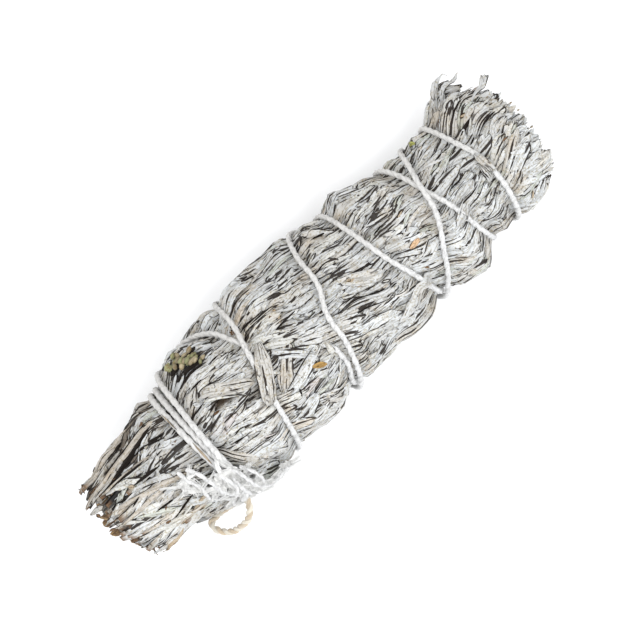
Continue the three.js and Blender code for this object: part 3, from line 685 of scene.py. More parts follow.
    def tinted(self, leaf: Leaf, v_u: np.ndarray, v: np.ndarray, under: np.ndarray) -> np.ndarray:
        """A leaf's colours: painted shade at its root and on its back, edge distances for painted shadow lines, and
        brown where it was cut.

        Args:
            leaf: the leaf.
            v_u: its corners' shares of its length.
            v: their shares of its half width.
            under: true for the corners on its back.

        Returns:
            Colours, corner by corner, with the edge distance for the painted shadow lines.
        """
        # Painted shade: darker on the back and towards the root, where the leaf is sunk among the others.
        value = np.where(under, 0.9 if leaf.x > 40 else 0.55, 1.0) * (0.84 + 0.16 * np.clip(v_u / 0.3, 0, 1))
        # Leaves inside the ends: painted shade, darker towards the bundle's inside.
        if leaf.share is not None:
            value = value * (0.42 + 0.68 * v_u if not leaf.cut_end else 1 - 0.65 * v_u)
        tint = np.array(leaf.tone)[None, :] * value[:, None]
        if leaf.cut_end and math.sin(leaf.degrees * 3.7) > -0.2:
            brown = np.clip(1 - v_u * leaf.length / 0.9, 0, 1)[:, None]
            tint = tint * (1 - brown) + np.array(Tone.BROWN.value) * brown
        # Distance to the nearest edge or fold, along which the leaf finish paints a dark shadow line; the lines are
        # wider on the upper left and on the backs.
        edge = 1 - np.abs(v)
        if leaf.kind is LeafKind.WRINKLED:
            edge = np.minimum(edge, np.abs(np.abs(v) - FOLD_AT))
        width = leaf.half * np.interp(v_u, CUTS[leaf.kind].stations, CUTS[leaf.kind].widths)
        away = edge * width * leaf.clean * (self.line_ease - self.gloom_lines * float(BUNDLE.gloom(leaf.x, leaf.degrees)))
        if leaf.share is not None or leaf.tone == Tone.GAP_SHADOW.value:
            return np.c_[tint, np.full(len(v), NO_EDGE)]
        return np.c_[tint, np.where(under, NO_EDGE if leaf.x > 40 else self.back_edge, away)]

    def lay(self, leaf: Leaf) -> None:
        """Lays one leaf on the bed, or inside an end of the bundle, and adds it to its sprig.

        Args:
            leaf: the leaf.
        """
        cut = CUTS[leaf.kind]
        corners, ring, sizes = self.shapes[leaf.kind]
        u = np.linspace(0, 1, self.samples)
        phi = np.radians(leaf.heading + leaf.bend * (u - 0.3))
        step = leaf.length / (self.samples - 1)
        x = leaf.x + np.concatenate([[0], np.cumsum(np.cos(phi[:-1]) * step)])
        arc = np.concatenate([[0], np.cumsum(np.sin(phi[:-1]) * step)])
        radius = max(2.0, float(BUNDLE.half_width(leaf.x)) * (leaf.share or 1.0))
        degrees = leaf.degrees + np.degrees(arc / radius)
        half = leaf.half * np.interp(u, cut.stations, cut.widths)
        if leaf.share is None:
            sides = np.array([-0.9, -0.45, 0.0, 0.45, 0.9])
            across = sides[None, :] * half[:, None]
            at = self.cells(
                x[:, None] - across * np.sin(phi)[:, None],
                degrees[:, None] + np.degrees(across * np.cos(phi)[:, None] / radius),
            )
            ground = self.height[at]
            kernel = np.hanning(15)[1:-1] / np.hanning(15).sum()
            crest = np.sort(ground, axis=1)[:, 2:].mean(1)
            base = np.convolve(np.pad(crest, 6, mode="edge"), kernel, mode="valid")
            base = np.maximum(base, crest - 0.3) + leaf.thickness
            slope = (ground[:, 3:].mean(1) - ground[:, :2].mean(1)) / np.maximum(1.35 * half, 0.3)
            slope = np.convolve(np.pad(slope, 6, mode="edge"), kernel, mode="valid")
            tilt = np.clip(np.degrees(np.arctan(slope)), -13, 13) + leaf.roll
            base = base - leaf.sink * (1 - np.clip(u / 0.28, 0, 1)) ** 1.5 + leaf.lift * u**2
            arch = leaf.arch * (1 - sides**2)[None, :]
            laid = base[:, None] + arch + 0.9 * across * np.sin(np.radians(tilt))[:, None]
            np.maximum.at(self.height, (at[0][5:], at[1][5:]), laid[5:])
        else:
            share = leaf.share + leaf.fan * u**1.5
            base = BUNDLE.half_width(x) * (share - 1)
            tilt = np.full_like(u, leaf.roll)
        v_u = np.clip(corners[:, 0], 0, 1)
        past = corners[:, 0] - v_u
        cx = np.interp(v_u, u, x) + past * leaf.length
        ca = np.interp(v_u, u, degrees)
        cphi = np.interp(v_u, u, phi)
        widest = np.interp(v_u, cut.stations, cut.widths)
        v = corners[:, 1] / np.maximum(widest, 1e-6)
        skew = 0.35 * math.sin(leaf.x * 5.7 + leaf.degrees) if leaf.kind is LeafKind.WRINKLED else 0.0
        moved = v + skew * (1 - v * v)
        rise = leaf.arch * np.minimum(widest, 1) * (1 - v * v) + leaf.fold * np.abs(v) * widest
        z = rise + corners[:, 2] * leaf.thickness / 2
        y = moved * widest * leaf.half
        turn = np.radians(np.interp(v_u, u, tilt))
        side = y * np.cos(turn) - z * np.sin(turn)
        up = y * np.sin(turn) + z * np.cos(turn)
        px = cx - side * np.sin(cphi)
        pa = ca + np.degrees(side * np.cos(cphi) / radius)
        height = np.interp(v_u, u, base)
        tint = self.tinted(leaf, v_u, v, corners[:, 2] < -0.5)
        number = (leaf.x * 7.31 + leaf.degrees * 1.93) % 50.0
        blade = np.stack([y, v_u * leaf.length, np.full(len(v_u), number)], -1)
        owner = BUNDLE.owner(leaf.x, leaf.degrees, 1.0 if leaf.share is None else leaf.share)
        if leaf.share is None and not self.settled:
            self.waiting.append(((x, degrees, base), v_u, px, pa, up, owner, tint, blade, ring, sizes))
        else:
            self.keep(owner, px, pa, height + up, tint, blade, ring, sizes)


class Wiring:
    """Adds nodes to a node tree and joins them."""

    def __init__(self, tree: bpy.types.NodeTree) -> None:
        """Starts with the tree."""
        self.tree = tree

    def node(self, kind: str, inputs: dict | None = None, **settings: object) -> bpy.types.Node:
        """Adds a node.

        Args:
            kind: its type.
            inputs: values, or sockets to join, for its inputs by name or number.
            settings: its own settings.

        Returns:
            The node.
        """
        made = self.tree.nodes.new(kind)
        for name, value in settings.items():
            setattr(made, name, value)
        for name, value in (inputs or {}).items():
            if isinstance(value, bpy.types.NodeSocket):
                self.tree.links.new(value, made.inputs[name])
            else:
                made.inputs[name].default_value = value
        return made

    def math(self, operation: str, *values: object) -> bpy.types.NodeSocket:
        """Adds a math node and gives its result."""
        return self.node("ShaderNodeMath", dict(enumerate(values)), operation=operation).outputs[0]

    def mix(self, share: object, first: object, second: object, blend: str = "MIX") -> bpy.types.NodeSocket:
        """Mixes two colours and gives the result."""
        made = self.node("ShaderNodeMix", {0: share, 6: first, 7: second}, data_type="RGBA", blend_type=blend)
        return made.outputs[2]

    def noise(self, vector: bpy.types.NodeSocket, scale: float, detail: float = 3.0,
              rough: float = 0.55) -> bpy.types.NodeSocket:
        """Adds a noise texture and gives its value."""
        made = self.node(
            "ShaderNodeTexNoise", {"Vector": vector, "Scale": scale, "Detail": detail, "Roughness": rough}
        )
        return made.outputs[0]


def new_group(name: str, inputs: dict[str, tuple[str, object]], outputs: dict[str, str]) -> bpy.types.NodeTree:
    """Makes an empty node group with named sockets.

    Args:
        name: the group's name.
        inputs: socket type and starting value by name.
        outputs: socket type by name.

    Returns:
        The group.
    """
    tree = bpy.data.node_groups.new(name, "ShaderNodeTree")
    for socket, (kind, value) in inputs.items():
        made = tree.interface.new_socket(socket, in_out="INPUT", socket_type=kind)
        if value is not None:
            made.default_value = value
    for socket, kind in outputs.items():
        tree.interface.new_socket(socket, in_out="OUTPUT", socket_type=kind)
    return tree


class SharedEffects:
    """Node groups that several finishes use."""

    def __init__(self) -> None:
        """Builds each group once."""
        self.fibre = self.build_fibre()
        self.felt = self.build_felt()

    def build_fibre(self) -> bpy.types.NodeTree:
        """Fine ridges that run lengthwise, such as veins, bark or cotton fibre.

        Returns:
            A group with the ridges' height, a mask of the grooves, and short slits that the leaf finish paints as
            shadow.
        """
        tree = new_group(
            "lengthwise ridges",
            {"Lay": ("NodeSocketVector", None), "Per mm": ("NodeSocketFloat", 2.5), "Wander": ("NodeSocketFloat", 0.4)},
            {"Height": "NodeSocketFloat", "Groove": "NodeSocketFloat", "Slit shadow": "NodeSocketFloat"},
        )
        wire = Wiring(tree)
        given = wire.node("NodeGroupInput")
        parts = wire.node("ShaderNodeSeparateXYZ", {0: given.outputs["Lay"]})
        slow = wire.node(
            "ShaderNodeCombineXYZ",
            {0: wire.math("MULTIPLY", parts.outputs[0], 0.6), 1: wire.math("MULTIPLY", parts.outputs[1], 0.16),
             2: parts.outputs[2]},
        )
        drift = wire.math("SUBTRACT", wire.noise(slow.outputs[0], 1.0, 2.0), 0.5)
        moved = wire.math("MULTIPLY_ADD", drift, given.outputs["Wander"], parts.outputs[0])
        across = wire.math("MULTIPLY", moved, given.outputs["Per mm"])
        lane = wire.node(
            "ShaderNodeCombineXYZ",
            {0: across, 1: wire.math("MULTIPLY", parts.outputs[1], 0.22), 2: parts.outputs[2]},
        )
        streak = wire.noise(lane.outputs[0], 1.0, 2.5, 0.6)
        height = wire.node(
            "ShaderNodeMapRange", {0: streak, 1: 0.37, 2: 0.47, 3: 0.0, 4: 1.0}, interpolation_type="SMOOTHSTEP"
        ).outputs[0]
        groove = wire.math("SUBTRACT", 1.0, height)
        # Short dark slits, which the leaf finish paints as shadow in the gaps between leaves.
        seam = wire.node(
            "ShaderNodeCombineXYZ",
            {0: wire.math("MULTIPLY", moved, 0.42), 1: wire.math("MULTIPLY", parts.outputs[1], 0.15),
             2: wire.math("ADD", parts.outputs[2], 17.3)},
        )
        level = wire.math("ABSOLUTE", wire.math("SUBTRACT", wire.noise(seam.outputs[0], 1.0, 2.0), 0.5))
        line = wire.node("ShaderNodeMapRange", {0: level, 1: 0.008, 2: 0.022, 3: 1.0, 4: 0.0}).outputs[0]
        spots = wire.node(
            "ShaderNodeCombineXYZ",
            {0: wire.math("MULTIPLY", parts.outputs[0], 0.5), 1: wire.math("MULTIPLY", parts.outputs[1], 0.35),
             2: wire.math("ADD", parts.outputs[2], 31.7)},
        )
        open_here = wire.node(
            "ShaderNodeMapRange", {0: wire.noise(spots.outputs[0], 1.0, 1.0), 1: 0.5, 2: 0.58, 3: 0.0, 4: 1.0}
        ).outputs[0]
        slit_shadow = wire.math("MULTIPLY", line, open_here)
        wire.node("NodeGroupOutput", {"Height": height, "Groove": groove, "Slit shadow": slit_shadow})
        return tree

    def build_felt(self) -> bpy.types.NodeTree:
        """A coat of very short hair that lies unevenly.

        Returns:
            A group with a colour that the coat lightens, its height and its roughness.
        """
        tree = new_group(
            "short felt",
            {"Colour": ("NodeSocketColor", None), "Hair": ("NodeSocketColor", (0.8, 0.8, 0.8, 1.0)),
             "Cover": ("NodeSocketFloat", 0.4), "Fineness": ("NodeSocketFloat", 6000.0)},
            {"Colour": "NodeSocketColor", "Height": "NodeSocketFloat", "Roughness": "NodeSocketFloat"},
        )
        wire = Wiring(tree)
        given = wire.node("NodeGroupInput")
        place = wire.node("ShaderNodeTexCoord").outputs["Object"]
        fine_noise = wire.node(
            "ShaderNodeTexNoise",
            {"Vector": place, "Scale": given.outputs["Fineness"], "Detail": 2.0, "Roughness": 0.6},
        ).outputs[0]
        patches = wire.noise(place, 420.0, 3.0)
        cover = wire.math("MULTIPLY", wire.math("MULTIPLY", fine_noise, patches), 2.2)
        share = wire.math("MULTIPLY", cover, given.outputs["Cover"])
        colour = wire.mix(wire.math("MINIMUM", share, 1.0), given.outputs["Colour"], given.outputs["Hair"])
        rough = wire.node("ShaderNodeMapRange", {0: patches, 1: 0.3, 2: 0.7, 3: 0.78, 4: 0.95}).outputs[0]
        wire.node("NodeGroupOutput", {"Colour": colour, "Height": fine_noise, "Roughness": rough})
        return tree


@dataclass(frozen=True)
class DriedLeafFinish:
    """Felted grey sage leaf: lengthwise veins, uneven down, brown ageing and painted shade. The tint attribute gives
    its colour.
    """

    name: str = "dried sage leaf"
    veins_per_mm: float = 3.2
    vein_depth: float = 0.00013
    down_depth: float = 0.00003
    hair_light: float = 1.35
    age: Colour = (0.80, 0.69, 0.55)
    speck: Colour = (0.62, 0.55, 0.41)
    sheen: float = 0.04
    # The widest painted shadow line, as an edge distance in millimetres.
    widest_line: float = 0.44

    def make(self, effects: SharedEffects) -> bpy.types.Material:
        """Makes the material.

        Args:
            effects: the shared node groups.

        Returns:
            The material.
        """
        material = bpy.data.materials.new(self.name)
        material.use_nodes = True
        wire = Wiring(material.node_tree)
        shader = material.node_tree.nodes["Principled BSDF"]
        given = wire.node("ShaderNodeAttribute", attribute_name="tint")
        tint, edge = given.outputs["Color"], given.outputs["Alpha"]
        blade = wire.node("ShaderNodeAttribute", attribute_name="blade").outputs["Vector"]
        place = wire.node("ShaderNodeTexCoord").outputs["Object"]
        veins = wire.node(
            "ShaderNodeGroup", {"Lay": blade, "Per mm": self.veins_per_mm, "Wander": 0.5}, node_tree=effects.fibre
        )
        aged = wire.node(
            "ShaderNodeMapRange", {0: wire.noise(place, 170.0, 4.0, 0.62), 1: 0.5, 2: 0.75, 3: 0.0, 4: 0.8}
        ).outputs[0]
        colour = wire.mix(aged, tint, (*self.age, 1.0), "MULTIPLY")
        specks = wire.node(
            "ShaderNodeMapRange", {0: wire.noise(place, 2100.0, 2.0), 1: 0.53, 2: 0.64, 3: 0.0, 4: 0.8}
        ).outputs[0]
        colour = wire.mix(specks, colour, (*self.speck, 1.0), "MULTIPLY")
        # Painted shade in the grooves between the veins.
        dark = wire.mix(1.0, colour, (0.60, 0.585, 0.56, 1.0), "MULTIPLY")
        colour = wire.mix(wire.math("MULTIPLY", veins.outputs["Groove"], 0.72), colour, dark)
        hair = wire.node("ShaderNodeVectorMath", {0: colour, "Scale": self.hair_light}, operation="SCALE")
        felt = wire.node(
            "ShaderNodeGroup",
            {"Colour": colour, "Hair": hair.outputs[0], "Cover": 0.5, "Fineness": 5200.0},
            node_tree=effects.felt,
        )
        colour = felt.outputs["Colour"]
        # Painted shadow: near-black lines along edges and folds, where the edge distance is small, and short slits for
        # the gaps between leaves.
        gap_shadow_colour = wire.mix(1.0, colour, (0.045, 0.034, 0.028, 1.0), "MULTIPLY")
        beside = wire.node("ShaderNodeVectorMath", {0: blade, 1: (0.6, 0.17, 1.0)}, operation="MULTIPLY")
        open_width = wire.node(
            "ShaderNodeMapRange",
            {0: wire.noise(beside.outputs[0], 1.0, 2.0), 1: 0.452, 2: 0.64, 3: 0.0, 4: self.widest_line}
        ).outputs[0]
        line = wire.node(
            "ShaderNodeMapRange", {0: wire.math("SUBTRACT", open_width, edge), 1: 0.0, 2: 0.06, 3: 0.0, 4: 0.96}
        ).outputs[0]
        line = wire.math("MAXIMUM", line, wire.math("MULTIPLY", veins.outputs["Slit shadow"], 0.75))
        colour = wire.mix(line, colour, gap_shadow_colour)
        down = wire.node("ShaderNodeBump", {"Height": felt.outputs["Height"], "Distance": self.down_depth,
                                            "Strength": 0.8})
        crumpled = wire.node("ShaderNodeBump", {"Height": wire.noise(place, 1500.0, 2.0), "Distance": 0.00012,
                                                "Strength": 0.8, "Normal": down.outputs[0]})
        bump = wire.node("ShaderNodeBump", {"Height": veins.outputs["Height"], "Distance": self.vein_depth,
                                            "Strength": 0.8, "Normal": crumpled.outputs[0]})
        material.node_tree.links.new(colour, shader.inputs["Base Color"])
        material.node_tree.links.new(felt.outputs["Roughness"], shader.inputs["Roughness"])
        material.node_tree.links.new(bump.outputs[0], shader.inputs["Normal"])
        shader.inputs["Specular IOR Level"].default_value = 0.12
        shader.inputs["Sheen Weight"].default_value = self.sheen
        shader.inputs["Sheen Roughness"].default_value = 0.45
        return material


@dataclass(frozen=True)
class CottonFinish:
    """Soft white cotton: fibres that run round the ply, with warm painted shade between them. The tint attribute gives
    its colour.
    """

    name: str = "cotton string"
    fibres_per_mm: float = 7.0
    fibre_depth: float = 0.00007
    sheen: float = 0.1

    def make(self, effects: SharedEffects) -> bpy.types.Material:
        """Makes the material.

        Args:
            effects: the shared node groups.

        Returns:
            The material.
        """
        material = bpy.data.materials.new(self.name)
        material.use_nodes = True
        wire = Wiring(material.node_tree)
        shader = material.node_tree.nodes["Principled BSDF"]
        tint = wire.node("ShaderNodeAttribute", attribute_name="tint").outputs["Color"]
        blade = wire.node("ShaderNodeAttribute", attribute_name="blade").outputs["Vector"]
        fibres = wire.node(
            "ShaderNodeGroup", {"Lay": blade, "Per mm": self.fibres_per_mm, "Wander": 0.3}, node_tree=effects.fibre
        )
        # Painted shade, a little warm, in the grooves between the fibres.
        dark = wire.mix(1.0, tint, (0.66, 0.64, 0.61, 1.0), "MULTIPLY")
        colour = wire.mix(wire.math("MULTIPLY", fibres.outputs["Groove"], 0.5), tint, dark)
        felt = wire.node(
            "ShaderNodeGroup",
            {"Colour": colour, "Hair": (0.64, 0.64, 0.64, 1.0), "Cover": 0.45, "Fineness": 7000.0},
            node_tree=effects.felt,
        )
        down = wire.node("ShaderNodeBump", {"Height": felt.outputs["Height"], "Distance": 0.00004, "Strength": 0.9})
        bump = wire.node("ShaderNodeBump", {"Height": fibres.outputs["Height"], "Distance": self.fibre_depth,
                                            "Strength": 1.0, "Normal": down.outputs[0]})
        material.node_tree.links.new(felt.outputs["Colour"], shader.inputs["Base Color"])
        material.node_tree.links.new(felt.outputs["Roughness"], shader.inputs["Roughness"])
        material.node_tree.links.new(bump.outputs[0], shader.inputs["Normal"])
        shader.inputs["Specular IOR Level"].default_value = 0.15
        shader.inputs["Sheen Weight"].default_value = self.sheen
        shader.inputs["Sheen Roughness"].default_value = 0.5
        return material


@dataclass(frozen=True)
class WoodFinish:
    """Dry bark and cut wood of the stems, or the dry skin of the buds. The tint attribute gives its colour."""

    name: str = "dry stem"
    ridges_per_mm: float = 3.2
    ridge_depth: float = 0.00012
    stain: Colour = (0.34, 0.23, 0.10)

    def make(self, effects: SharedEffects) -> bpy.types.Material:
        """Makes the material.

        Args:
            effects: the shared node groups.

        Returns:
            The material.
        """
        material = bpy.data.materials.new(self.name)
        material.use_nodes = True
        wire = Wiring(material.node_tree)
        shader = material.node_tree.nodes["Principled BSDF"]
        tint = wire.node("ShaderNodeAttribute", attribute_name="tint").outputs["Color"]
        blade = wire.node("ShaderNodeAttribute", attribute_name="blade").outputs["Vector"]
        place = wire.node("ShaderNodeTexCoord").outputs["Object"]
        bark = wire.node(
            "ShaderNodeGroup", {"Lay": blade, "Per mm": self.ridges_per_mm, "Wander": 0.6}, node_tree=effects.fibre
        )
        worn = wire.node(
            "ShaderNodeMapRange", {0: wire.noise(place, 1500.0, 3.0), 1: 0.5, 2: 0.62, 3: 0.0, 4: 0.75}
        ).outputs[0]
        colour = wire.mix(worn, tint, (*self.stain, 1.0))
        # Painted shade in the grooves of the bark.
        dark = wire.mix(1.0, colour, (0.45, 0.4, 0.35, 1.0), "MULTIPLY")
        colour = wire.mix(wire.math("MULTIPLY", bark.outputs["Groove"], 0.7), colour, dark)
        bump = wire.node("ShaderNodeBump", {"Height": bark.outputs["Height"], "Distance": self.ridge_depth,
                                            "Strength": 1.0})
        rough = wire.node("ShaderNodeMapRange", {0: worn, 1: 0.0, 2: 0.7, 3: 0.72, 4: 0.92}).outputs[0]
        material.node_tree.links.new(colour, shader.inputs["Base Color"])
        material.node_tree.links.new(rough, shader.inputs["Roughness"])
        material.node_tree.links.new(bump.outputs[0], shader.inputs["Normal"])
        shader.inputs["Specular IOR Level"].default_value = 0.3
        return material


@dataclass
class Studio:
    """Plain pale floor, soft light from the lower right, and the camera straight above."""

    camera_height: float = 0.616
    camera_x: float = 0.00099
    camera_y: float = 0.00064
    camera_turn: float = -44.72
    lens: float = 156.7
    floor_size: float = 6.0

    def build(self) -> None:
        """Builds the floor, lights, backdrop light and camera."""
        self.build_floor()
        self.build_light("key light", (0.15, -0.32, 0.95), 0.42, 3.7, (0.985, 0.995, 1.0))
        self.build_light("fill light", (-0.3, 0.3, 0.95), 0.9, 3.0, (1.0, 0.99, 0.98))
        self.build_sky()
        self.build_camera()
        bpy.context.scene.view_settings.view_transform = "Standard"

    def build_floor(self) -> None:
        """Builds the pale floor."""
        bpy.ops.object.select_all(action="DESELECT")
        bpy.ops.mesh.primitive_plane_add(size=self.floor_size, location=(0, 0, 0))
        floor = bpy.context.object
        floor.name = "floor"
        material = bpy.data.materials.new("pale floor")
        material.use_nodes = True
        shader = material.node_tree.nodes["Principled BSDF"]
        shader.inputs["Base Color"].default_value = (0.96, 0.96, 0.96, 1.0)
        shader.inputs["Roughness"].default_value = 0.9
        shader.inputs["Specular IOR Level"].default_value = 0.1
        floor.data.materials.append(material)

    def build_light(self, name: str, place: tuple[float, float, float], size: float, power: float,
                    colour: Colour) -> None:
        """Builds a square soft light that faces the bundle.

        Args:
            name: its name.
            place: where it stands, in metres.
            size: its side, in metres.
            power: its power in watts.
            colour: its colour.
        """
        data = bpy.data.lights.new(name, "AREA")
        data.shape = "SQUARE"
        data.size = size
        data.energy = power
        data.color = colour
        light = bpy.data.objects.new(name, data)
        bpy.context.scene.collection.objects.link(light)
        light.location = place
        towards = -light.location.copy()
        light.rotation_mode = "QUATERNION"
        light.rotation_quaternion = towards.to_track_quat("-Z", "Y")

    def build_sky(self) -> None:
        """Builds the soft light that comes from all sides."""
        world = bpy.data.worlds.new("soft light")
        world.use_nodes = True
        world.node_tree.nodes["Background"].inputs[0].default_value = (0.97, 0.98, 1.0, 1.0)
        world.node_tree.nodes["Background"].inputs[1].default_value = 1.2
        bpy.context.scene.world = world

    def build_camera(self) -> None:
        """Builds the camera, which looks straight down with the bundle across the picture's diagonal."""
        data = bpy.data.cameras.new("camera")
        data.sensor_width = 36.0
        data.lens = self.lens
        data.clip_start = 0.01
        camera = bpy.data.objects.new("camera", data)
        bpy.context.scene.collection.objects.link(camera)
        camera.location = (self.camera_x, self.camera_y, self.camera_height)
        camera.rotation_euler = (0, 0, math.radians(self.camera_turn))
        bpy.context.scene.camera = camera


class Tone(Enum):
    """Colours of dried sage leaf and stem, as linear light."""

    SILVER = (0.56, 0.565, 0.56)
    BLUE_WHITE = (0.595, 0.61, 0.615)
    WARM_GREY = (0.53, 0.515, 0.485)
    BEIGE = (0.53, 0.49, 0.435)
    GREEN_GREY = (0.515, 0.535, 0.495)
    TAN = (0.43, 0.36, 0.27)
    BROWN = (0.17, 0.105, 0.062)
    PINK = (0.57, 0.54, 0.53)
    FLAKE = (0.40, 0.25, 0.09)
    ORANGE = (0.58, 0.40, 0.26)
    PALE = (0.60, 0.60, 0.575)
    OLIVE = (0.36, 0.37, 0.12)
    # A near-black sliver laid on the leaves: painted shadow in a gap between them.
    GAP_SHADOW = (0.012, 0.009, 0.007)


# Leaves that stand out in the photograph, and near-black slivers of painted shadow in its gaps, as (x, side) at the
# root, (x, side) at the tip, and width.
Picked = tuple[tuple[LeafKind, Tone, tuple[tuple[float, ...], ...]], ...]
# Those that the string holds down.
UNDER_STRING: Picked = (
    (LeafKind.BROAD, Tone.SILVER, (
        (8.8, 2.0, 16.9, -2.9, 3.4), (-29.0, -11.4, -23.5, -16.2, 2.8), (53.1, 1.2, 58.0, 4.0, 2.4),
        (50.3, -6.0, 59.4, -4.7, 1.9), (36.2, 8.3, 43.8, 5.6, 1.9), (-4.8, -4.7, -15.0, -6.5, 1.9),
    )),
    (LeafKind.BROAD, Tone.WARM_GREY, (
        (-36.4, 2.6, -33.6, -1.4, 2.8), (-64.0, 6.5, -60.5, 5.2, 1.7),
    )),
    (LeafKind.BROAD, Tone.BLUE_WHITE, (
        (52.3, -9.5, 60.5, -11.9, 4.3), (50.0, -9.6, 58.2, -15.7, 1.7), (-47.1, -8.6, -42.4, -12.4, 2.2),
    )),
    (LeafKind.WRINKLED, Tone.WARM_GREY, (
        (-28.8, 5.7, -18.7, -0.1, 3.2), (-35.4, -4.7, -29.5, -11.9, 2.4), (45.9, 12.9, 56.1, 17.6, 1.7),
        (53.4, 11.2, 58.1, 10.8, 1.9),
        (-62.6, 10.1, -49.8, 10.7, 1.7), (-63.2, 7.6, -48.6, 8.9, 1.5), (-62.6, 11.3, -52.0, 11.6, 1.3),
    )),
    (LeafKind.WRINKLED, Tone.SILVER, (
        (49.3, 3.5, 57.1, 5.8, 1.7), (5.7, -3.3, 16.9, -7.2, 1.7), (-7.9, 2.3, 0.5, 0.0, 1.5),
        (-10.4, 5.0, -1.4, 4.3, 1.5),
    )),
    (LeafKind.STRIP, Tone.BEIGE, (
        (-60.9, 10.8, -46.2, 12.6, 1.3), (-63.7, 8.7, -38.4, 10.0, 1.6), (-60.6, 7.5, -45.5, 4.7, 1.1),
        (-64.0, 8.4, -40.8, 9.4, 1.3), (-61.9, 11.1, -45.3, 12.6, 1.3), (-61.3, 2.1, -41.1, -4.0, 1.3),
        (-58.7, -7.4, -47.4, -9.2, 1.3), (-59.9, -10.8, -44.2, -11.5, 1.3), (-61.6, -2.4, -46.7, -2.7, 1.1),
    )),
    (LeafKind.STRIP, Tone.SILVER, (
        (-60.3, -13.4, -44.5, -12.0, 2.1), (-59.4, -14.2, -46.0, -13.2, 1.5), (-61.0, -9.6, -47.5, -8.4, 1.7),
    )),
    (LeafKind.STRIP, Tone.PALE, (
        (-60.6, -11.4, -46.5, -10.0, 1.7), (-62.9, 11.6, -48.0, 12.9, 1.5),
    )),
    (LeafKind.LANCE, Tone.PALE, (
        (-32.3, 7.6, -17.2, 8.5, 1.1), (-31.4, 6.4, -17.5, 5.7, 1.1), (-31.2, 5.3, -20.8, -1.3, 0.6),
        (-28.5, 0.8, -22.7, -2.2, 0.6), (-35.6, -3.4, -22.8, -5.1, 0.9), (-14.8, 10.0, -3.7, 8.1, 1.1),
        (-13.6, 7.0, -5.5, 6.2, 1.1), (7.4, 8.6, 15.8, 6.9, 1.3), (7.4, 7.1, 14.9, 4.8, 0.9),
        (54.8, 7.7, 59.3, 8.4, 0.9), (52.9, -1.6, 59.2, 0.6, 1.1),
        (-55.7, 5.7, -44.6, 3.8, 0.6), (-52.2, 1.6, -43.7, 1.9, 0.6), (-59.9, -8.7, -48.0, -11.0, 1.9),
        (-61.9, -0.6, -56.0, -5.3, 0.9), (-63.2, 0.6, -56.2, 2.2, 1.3),
    )),
    (LeafKind.LANCE, Tone.BLUE_WHITE, (
        (-34.4, -4.0, -20.8, -8.3, 0.9), (-31.2, -8.1, -22.6, -13.5, 0.9), (-30.1, -3.6, -21.4, -7.4, 0.9),
    )),
    (LeafKind.LANCE, Tone.PINK, (
        (-31.8, -6.5, -22.3, -11.4, 0.6),
    )),
    (LeafKind.LANCE, Tone.SILVER, (
        (-60.3, 5.0, -38.8, -4.7, 1.5), (-52.8, -5.1, -47.0, -4.8, 1.5),
    )),
    (LeafKind.BROAD, Tone.GAP_SHADOW, (
        (-30.8, 14.0, -22.7, 14.2, 2.6), (-30.6, 11.7, -23.9, 11.8, 1.9),
    )),
    (LeafKind.LANCE, Tone.GAP_SHADOW, (
        (-33.7, 9.9, -23.2, 10.4, 0.8), (-23.2, 9.5, -18.1, 9.7, 0.6), (-30.6, 7.8, -24.2, 7.2, 0.4),
        (-27.1, 6.4, -21.8, 4.8, 0.3), (-34.9, 4.1, -29.1, 4.4, 0.4), (-9.4, 4.1, -0.8, 4.6, 0.5),
        (-11.1, 9.7, -4.9, 8.7, 0.4), (-14.2, 10.6, -9.5, 10.2, 0.4), (-4.7, -3.7, -15.6, -6.5, 0.3),
        (-12.9, -8.0, -13.9, -9.9, 0.6), (-31.6, -6.4, -28.1, -6.8, 0.3), (-12.3, 1.8, -16.1, -2.7, 0.4),
        (9.5, 13.2, 14.4, 12.6, 0.6), (11.0, 2.0, 14.8, 1.0, 0.5), (14.9, 0.9, 17.2, -0.5, 0.4),
        (10.7, -4.0, 14.5, -5.7, 0.5), (5.1, -5.1, 13.9, -8.1, 0.3), (5.8, -2.2, 10.1, -2.5, 0.3),
        (15.4, -6.3, 17.3, -6.6, 0.3), (5.5, 7.5, 9.9, 7.1, 0.4), (20.4, 4.5, 23.6, 4.4, 0.4),
        (47.6, 6.6, 52.8, 7.6, 0.9), (52.4, 4.1, 57.4, 5.2, 0.6), (48.4, 3.5, 50.5, 4.1, 0.5),
        (41.2, 6.3, 43.8, 6.5, 0.6), (38.8, -0.4, 42.9, -0.2, 0.4), (47.5, 11.4, 49.3, 12.3, 0.5),
        (50.4, 10.3, 54.0, 11.9, 0.5), (53.0, -1.4, 56.8, 1.5, 0.4), (-58.9, 9.5, -39.8, 10.2, 0.6),
        (-59.2, 7.3, -41.1, 8.8, 1.3), (-47.1, 6.8, -40.4, 6.2, 1.0), (-49.3, 7.5, -40.4, 5.3, 0.6), (-54.7, 5.8, -47.1, 4.7, 0.6),
        (-52.7, 2.6, -45.4, 1.5, 0.8), (-56.9, -1.0, -53.1, -0.2, 0.6), (-53.1, -5.4, -47.8, -6.2, 0.6),
        (-58.5, 2.9, -55.4, 1.4, 0.6), (-52.0, -8.9, -44.4, -8.0, 0.4),
    )),
)
